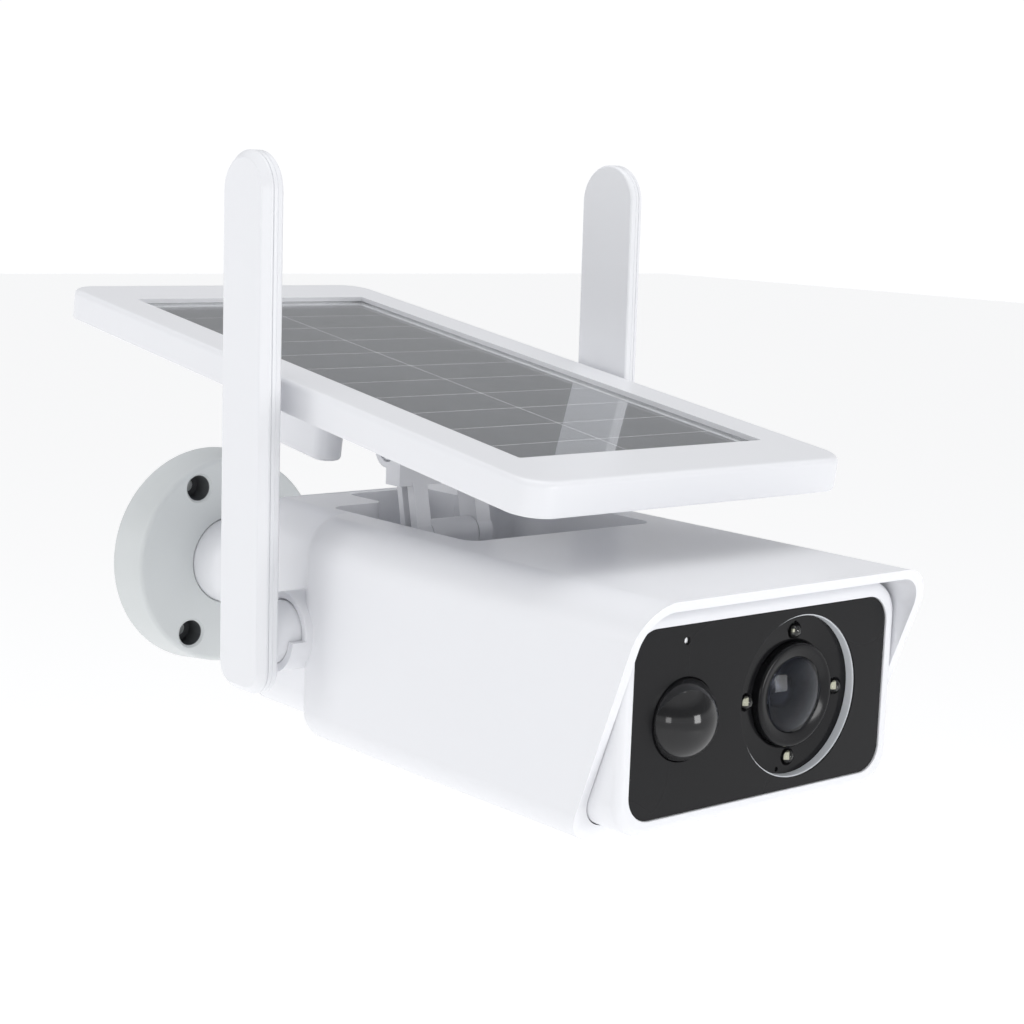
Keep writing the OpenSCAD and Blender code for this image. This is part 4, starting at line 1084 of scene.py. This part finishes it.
def panel_bracket():
    """Hinge leaf under the panel with the web and barrel that turn on the tilt bolt."""
    piece = made("panel_bracket_leaf", prism("Z", rounded_rect(44, 34, 3, 0, -7), -3, 0))
    pin = PANEL.inverted() @ joint_point("panel_tilt")
    fuse(piece, rod("X", 6, -EYE_HALF, EYE_HALF, pin.y, pin.z, 48),
         block(-EYE_HALF, EYE_HALF, pin.y - 4.5, pin.y + 4.5, pin.z, -1))
    carve(piece, rod("X", 2.1, -20, 20, pin.y, pin.z, 32))
    ease(piece, 0.5, 3, angle=45)
    settle(piece, PANEL, "panel", white, nodes=["panel_bracket"], slot="white_plastic")
    for i, (x, y) in enumerate((x, y) for x in (-17, 17) for y in (-19, 5)):
        pan_head(f"bracket_screw_{i + 1}", "Z", 2.8, 1.5, -3, x, y, -1, PANEL, "panel",
                 nodes=["bracket_screws"] if i == 0 else ())


def junction_box():
    """Potted connector box under the panel, with a gland for a cord at its rear."""
    low, high = span("junction_box", PANEL)
    corner, gland_out = 4.9, 5
    tail = high.y - gland_out
    x, y = (low.x + high.x) / 2, (low.y + tail) / 2
    wide, long = high.x - low.x, tail - low.y
    rim = [(0.9, low.z), (0.3, low.z + 0.3), (0.0, low.z + 0.9), (0.0, -0.01)]
    rings = [along("Z", rounded_rect(wide - 2 * d, long - 2 * d, corner - d, x, y), z) for d, z in rim]
    piece = made("junction_box_case", skin(rings))
    z = low.z + 5.5
    end = tail + gland_out
    gland = [(4, tail - 2), (4, tail + 2.4), (3.4, tail + 2.8), (3.4, tail + 4.4), (2.9, end), (2, end),
             (2, tail - 6), (0, tail - 6)]
    fuse(piece, turned(gland, x=x, z=z, steps=40))
    carve(piece, rod("Y", 2, tail - 5, tail + 7, x, z, 32))
    ease(piece, 0.25, 2, angle=50)
    settle(piece, PANEL, "panel", white, nodes=["junction_box"], slot="white_plastic")


# ---------- antennas ----------

LEAN = radians(-0.65)
ANTENNA = BODY @ Matrix.Translation((0, antenna_pivot.y, antenna_pivot.z)) @ Matrix.Rotation(LEAN, 4, "X")
paddle_low, paddle_high = span("right_antenna_front", ANTENNA)
PADDLE_X = 67.0


def paddle_outline(inset):
    """Side view of a paddle: a full round on top and blunter corners below."""
    half = (paddle_high.y - paddle_low.y) / 2
    y = (paddle_high.y + paddle_low.y) / 2
    r = 8.0
    return (arc(y + half - r, paddle_low.z + r, r - inset, -90, 0, 8)
            + arc(y, paddle_high.z - half, half - inset, 0, 180, 32)
            + arc(y - half + r, paddle_low.z + r, r - inset, 180, 270, 8))


def antenna(side):
    """A paddle in two mouldings with a thin seam, and the hub that turns in its boss."""
    name = "left" if side < 0 else "right"
    body = name + "_antenna"
    inner, seam, outer = PADDLE_X, paddle_low.x, paddle_high.x
    groove = seam - 1.3
    stations = [(seam + 0.02, 0.3), (seam + 0.12, 0.08), (seam + 0.3, 0.0), (seam + 0.75, 0.0),
                (seam + 1.05, 0.14), (outer - 0.45, 1.72), (outer - 0.18, 1.98), (outer, 2.35)]
    front = made(body + "_cover", skin([along("X", paddle_outline(d), x) for x, d in stations]))
    settle(front, ANTENNA, body, antenna_white, nodes=[body + "_front"], slot="white_plastic",
           mirror=side < 0, crease=60)
    stations = [(inner, 0.75), (inner + 0.15, 0.35), (inner + 0.55, 0.04), (inner + 0.9, 0.0),
                (groove - 0.14, 0.0), (groove - 0.05, 0.14), (groove + 0.05, 0.14), (groove + 0.14, 0.0),
                (seam - 0.3, 0.0), (seam - 0.12, 0.08), (seam - 0.02, 0.3)]
    back = made(body + "_base", skin([along("X", paddle_outline(d), x) for x, d in stations]))
    hub_r, hub_end = 9.35, 54.4
    hub = [(0, hub_end), (8.9, hub_end), (hub_r, 54.9), (hub_r, inner + 0.5), (0, inner + 0.5)]
    fuse(back, turned(hub, "X", steps=72))
    settle(back, ANTENNA, body, antenna_white, nodes=[body + "_back"], slot="white_plastic",
           mirror=side < 0, crease=50)


# ---------- CAD nodes that keep their own shape ----------

KEPT = {
    "clamp_ring": steel, "clamp_screws": steel, "neck_stud": steel, "stud_insert": brass,
    "rear_lenses": lens_glass, "lens_holder": satin_black, "sensor_board": board,
    "led_board": board, "pir_sensor": bright_steel, "microphone": dark_plastic, "main_board": board,
    "speaker": dark_plastic, "battery_cells": sleeve, "battery_tray": satin_black, "port_board": board,
    "port_plate": dark_plastic, "usb_socket": bright_steel, "card_slot": bright_steel,
    "power_button": dark_plastic, "reset_button": red_plastic, "cover_pin": steel, "arm_pin": steel,
    "left_antenna_strip": copper, "right_antenna_strip": copper,
    "left_antenna_screw": steel, "right_antenna_screw": steel,
}


def keep_nodes():
    """Gives the hidden and plain parts their material and leaves their shape alone."""
    for name, material in KEPT.items():
        slots = frame["nodes"][name].data.materials
        slots.clear()
        slots.append(material)


# ---------- studio ----------

FLOOR_Z = -0.42
AIM = Vector((0, -0.15, 0.03))
EYE = (-0.4011, -0.64321, 0.13836)


def studio():
    """Pale floor, surroundings that are white near the horizon and overhead, and soft lights."""
    scene = bpy.context.scene
    scene.view_settings.view_transform = "Standard"
    world = bpy.data.worlds.new("studio")
    world.use_nodes = True
    tree = world.node_tree
    split = tree.nodes.new("ShaderNodeSeparateXYZ")
    tree.links.new(tree.nodes.new("ShaderNodeTexCoord").outputs["Generated"], split.inputs[0])
    ramp = tree.nodes.new("ShaderNodeValToRGB")
    tree.links.new(split.outputs["Z"], ramp.inputs["Fac"])
    stops = ((0.0, 1.0), (0.13, 1.0), (0.24, 0.36), (0.5, 0.36), (0.74, 0.9), (1.0, 1.0))
    while len(ramp.color_ramp.elements) < len(stops):
        ramp.color_ramp.elements.new(0.5)
    for element, (height, tone) in zip(ramp.color_ramp.elements, stops):
        element.position = height
        element.color = (tone * 0.985, tone * 0.99, tone, 1.0)
    tree.links.new(ramp.outputs["Color"], tree.nodes["Background"].inputs["Color"])
    tree.nodes["Background"].inputs["Strength"].default_value = 1.03
    scene.world = world
    floor = made("studio_floor", block(-9000, 9000, -9000, 9000, -0.1, 0))
    floor.data.transform(place_at((0, 0, FLOOR_Z)))
    paper = shader("studio_paper", (0.92, 0.92, 0.92), Roughness=1.0, Emission_Color=(1, 1, 1, 1),
                   Emission_Strength=0.24, Specular_IOR_Level=0.0)
    floor.data.materials.append(paper[0])
    lights = (("front_box", (0.32, -1.4, 0.08), 0.36, 3.7), ("left_box", (-1.15, -0.95, 0.1), 0.3, 1.3),
              ("top_box", (0.1, -0.2, 1.5), 0.9, 5.0), ("rear_box", (-1.25, 0.5, 0.42), 0.6, 2.8))
    for name, spot, size, power in lights:
        data = bpy.data.lights.new(name, "AREA")
        data.shape = "SQUARE"
        data.size = size
        data.energy = power
        light = bpy.data.objects.new(name, data)
        light.location = spot
        light.rotation_mode = "QUATERNION"
        light.rotation_quaternion = (AIM - Vector(spot)).to_track_quat("-Z", "Y")
        scene.collection.objects.link(light)


def camera():
    """A long lens, a little above the object and to its left, with a slight roll."""
    azimuth, elevation, roll = radians(-40.312), radians(9.036), radians(2.138)
    data = bpy.data.cameras.new("camera")
    data.lens = 73.55
    data.sensor_width = 36.0
    data.clip_start = 0.01
    eye = bpy.data.objects.new("camera", data)
    back = Vector((sin(azimuth) * cos(elevation), -cos(azimuth) * cos(elevation), sin(elevation)))
    right = Vector((cos(azimuth), sin(azimuth), 0))
    up = back.cross(right)
    rolled_right = right * cos(roll) + up * sin(roll)
    rolled_up = up * cos(roll) - right * sin(roll)
    turn = Matrix((rolled_right, rolled_up, back)).transposed()
    eye.matrix_world = Matrix.Translation(EYE) @ turn.to_4x4()
    bpy.context.scene.collection.objects.link(eye)
    bpy.context.scene.camera = eye


camera()
studio()
keep_nodes()
wall_plate()
screw_wells()
swivel_dome()
pivot_bolt()
neck_arm()
jam_nut()
outer_shell()
rear_cap()
rear_screws()
front_housing()
front_plate()
lens_ring()
lens_dish()
lens_barrel()
lenses()
lamps()
motion_sensor()
port_cover()
panel_arm()
arm_base()
tilt_fixings()
panel_frame()
panel_glass()
solar_cells()
panel_back()
panel_bracket()
junction_box()
for side in (-1, 1):
    antenna_boss(side)
    antenna(side)
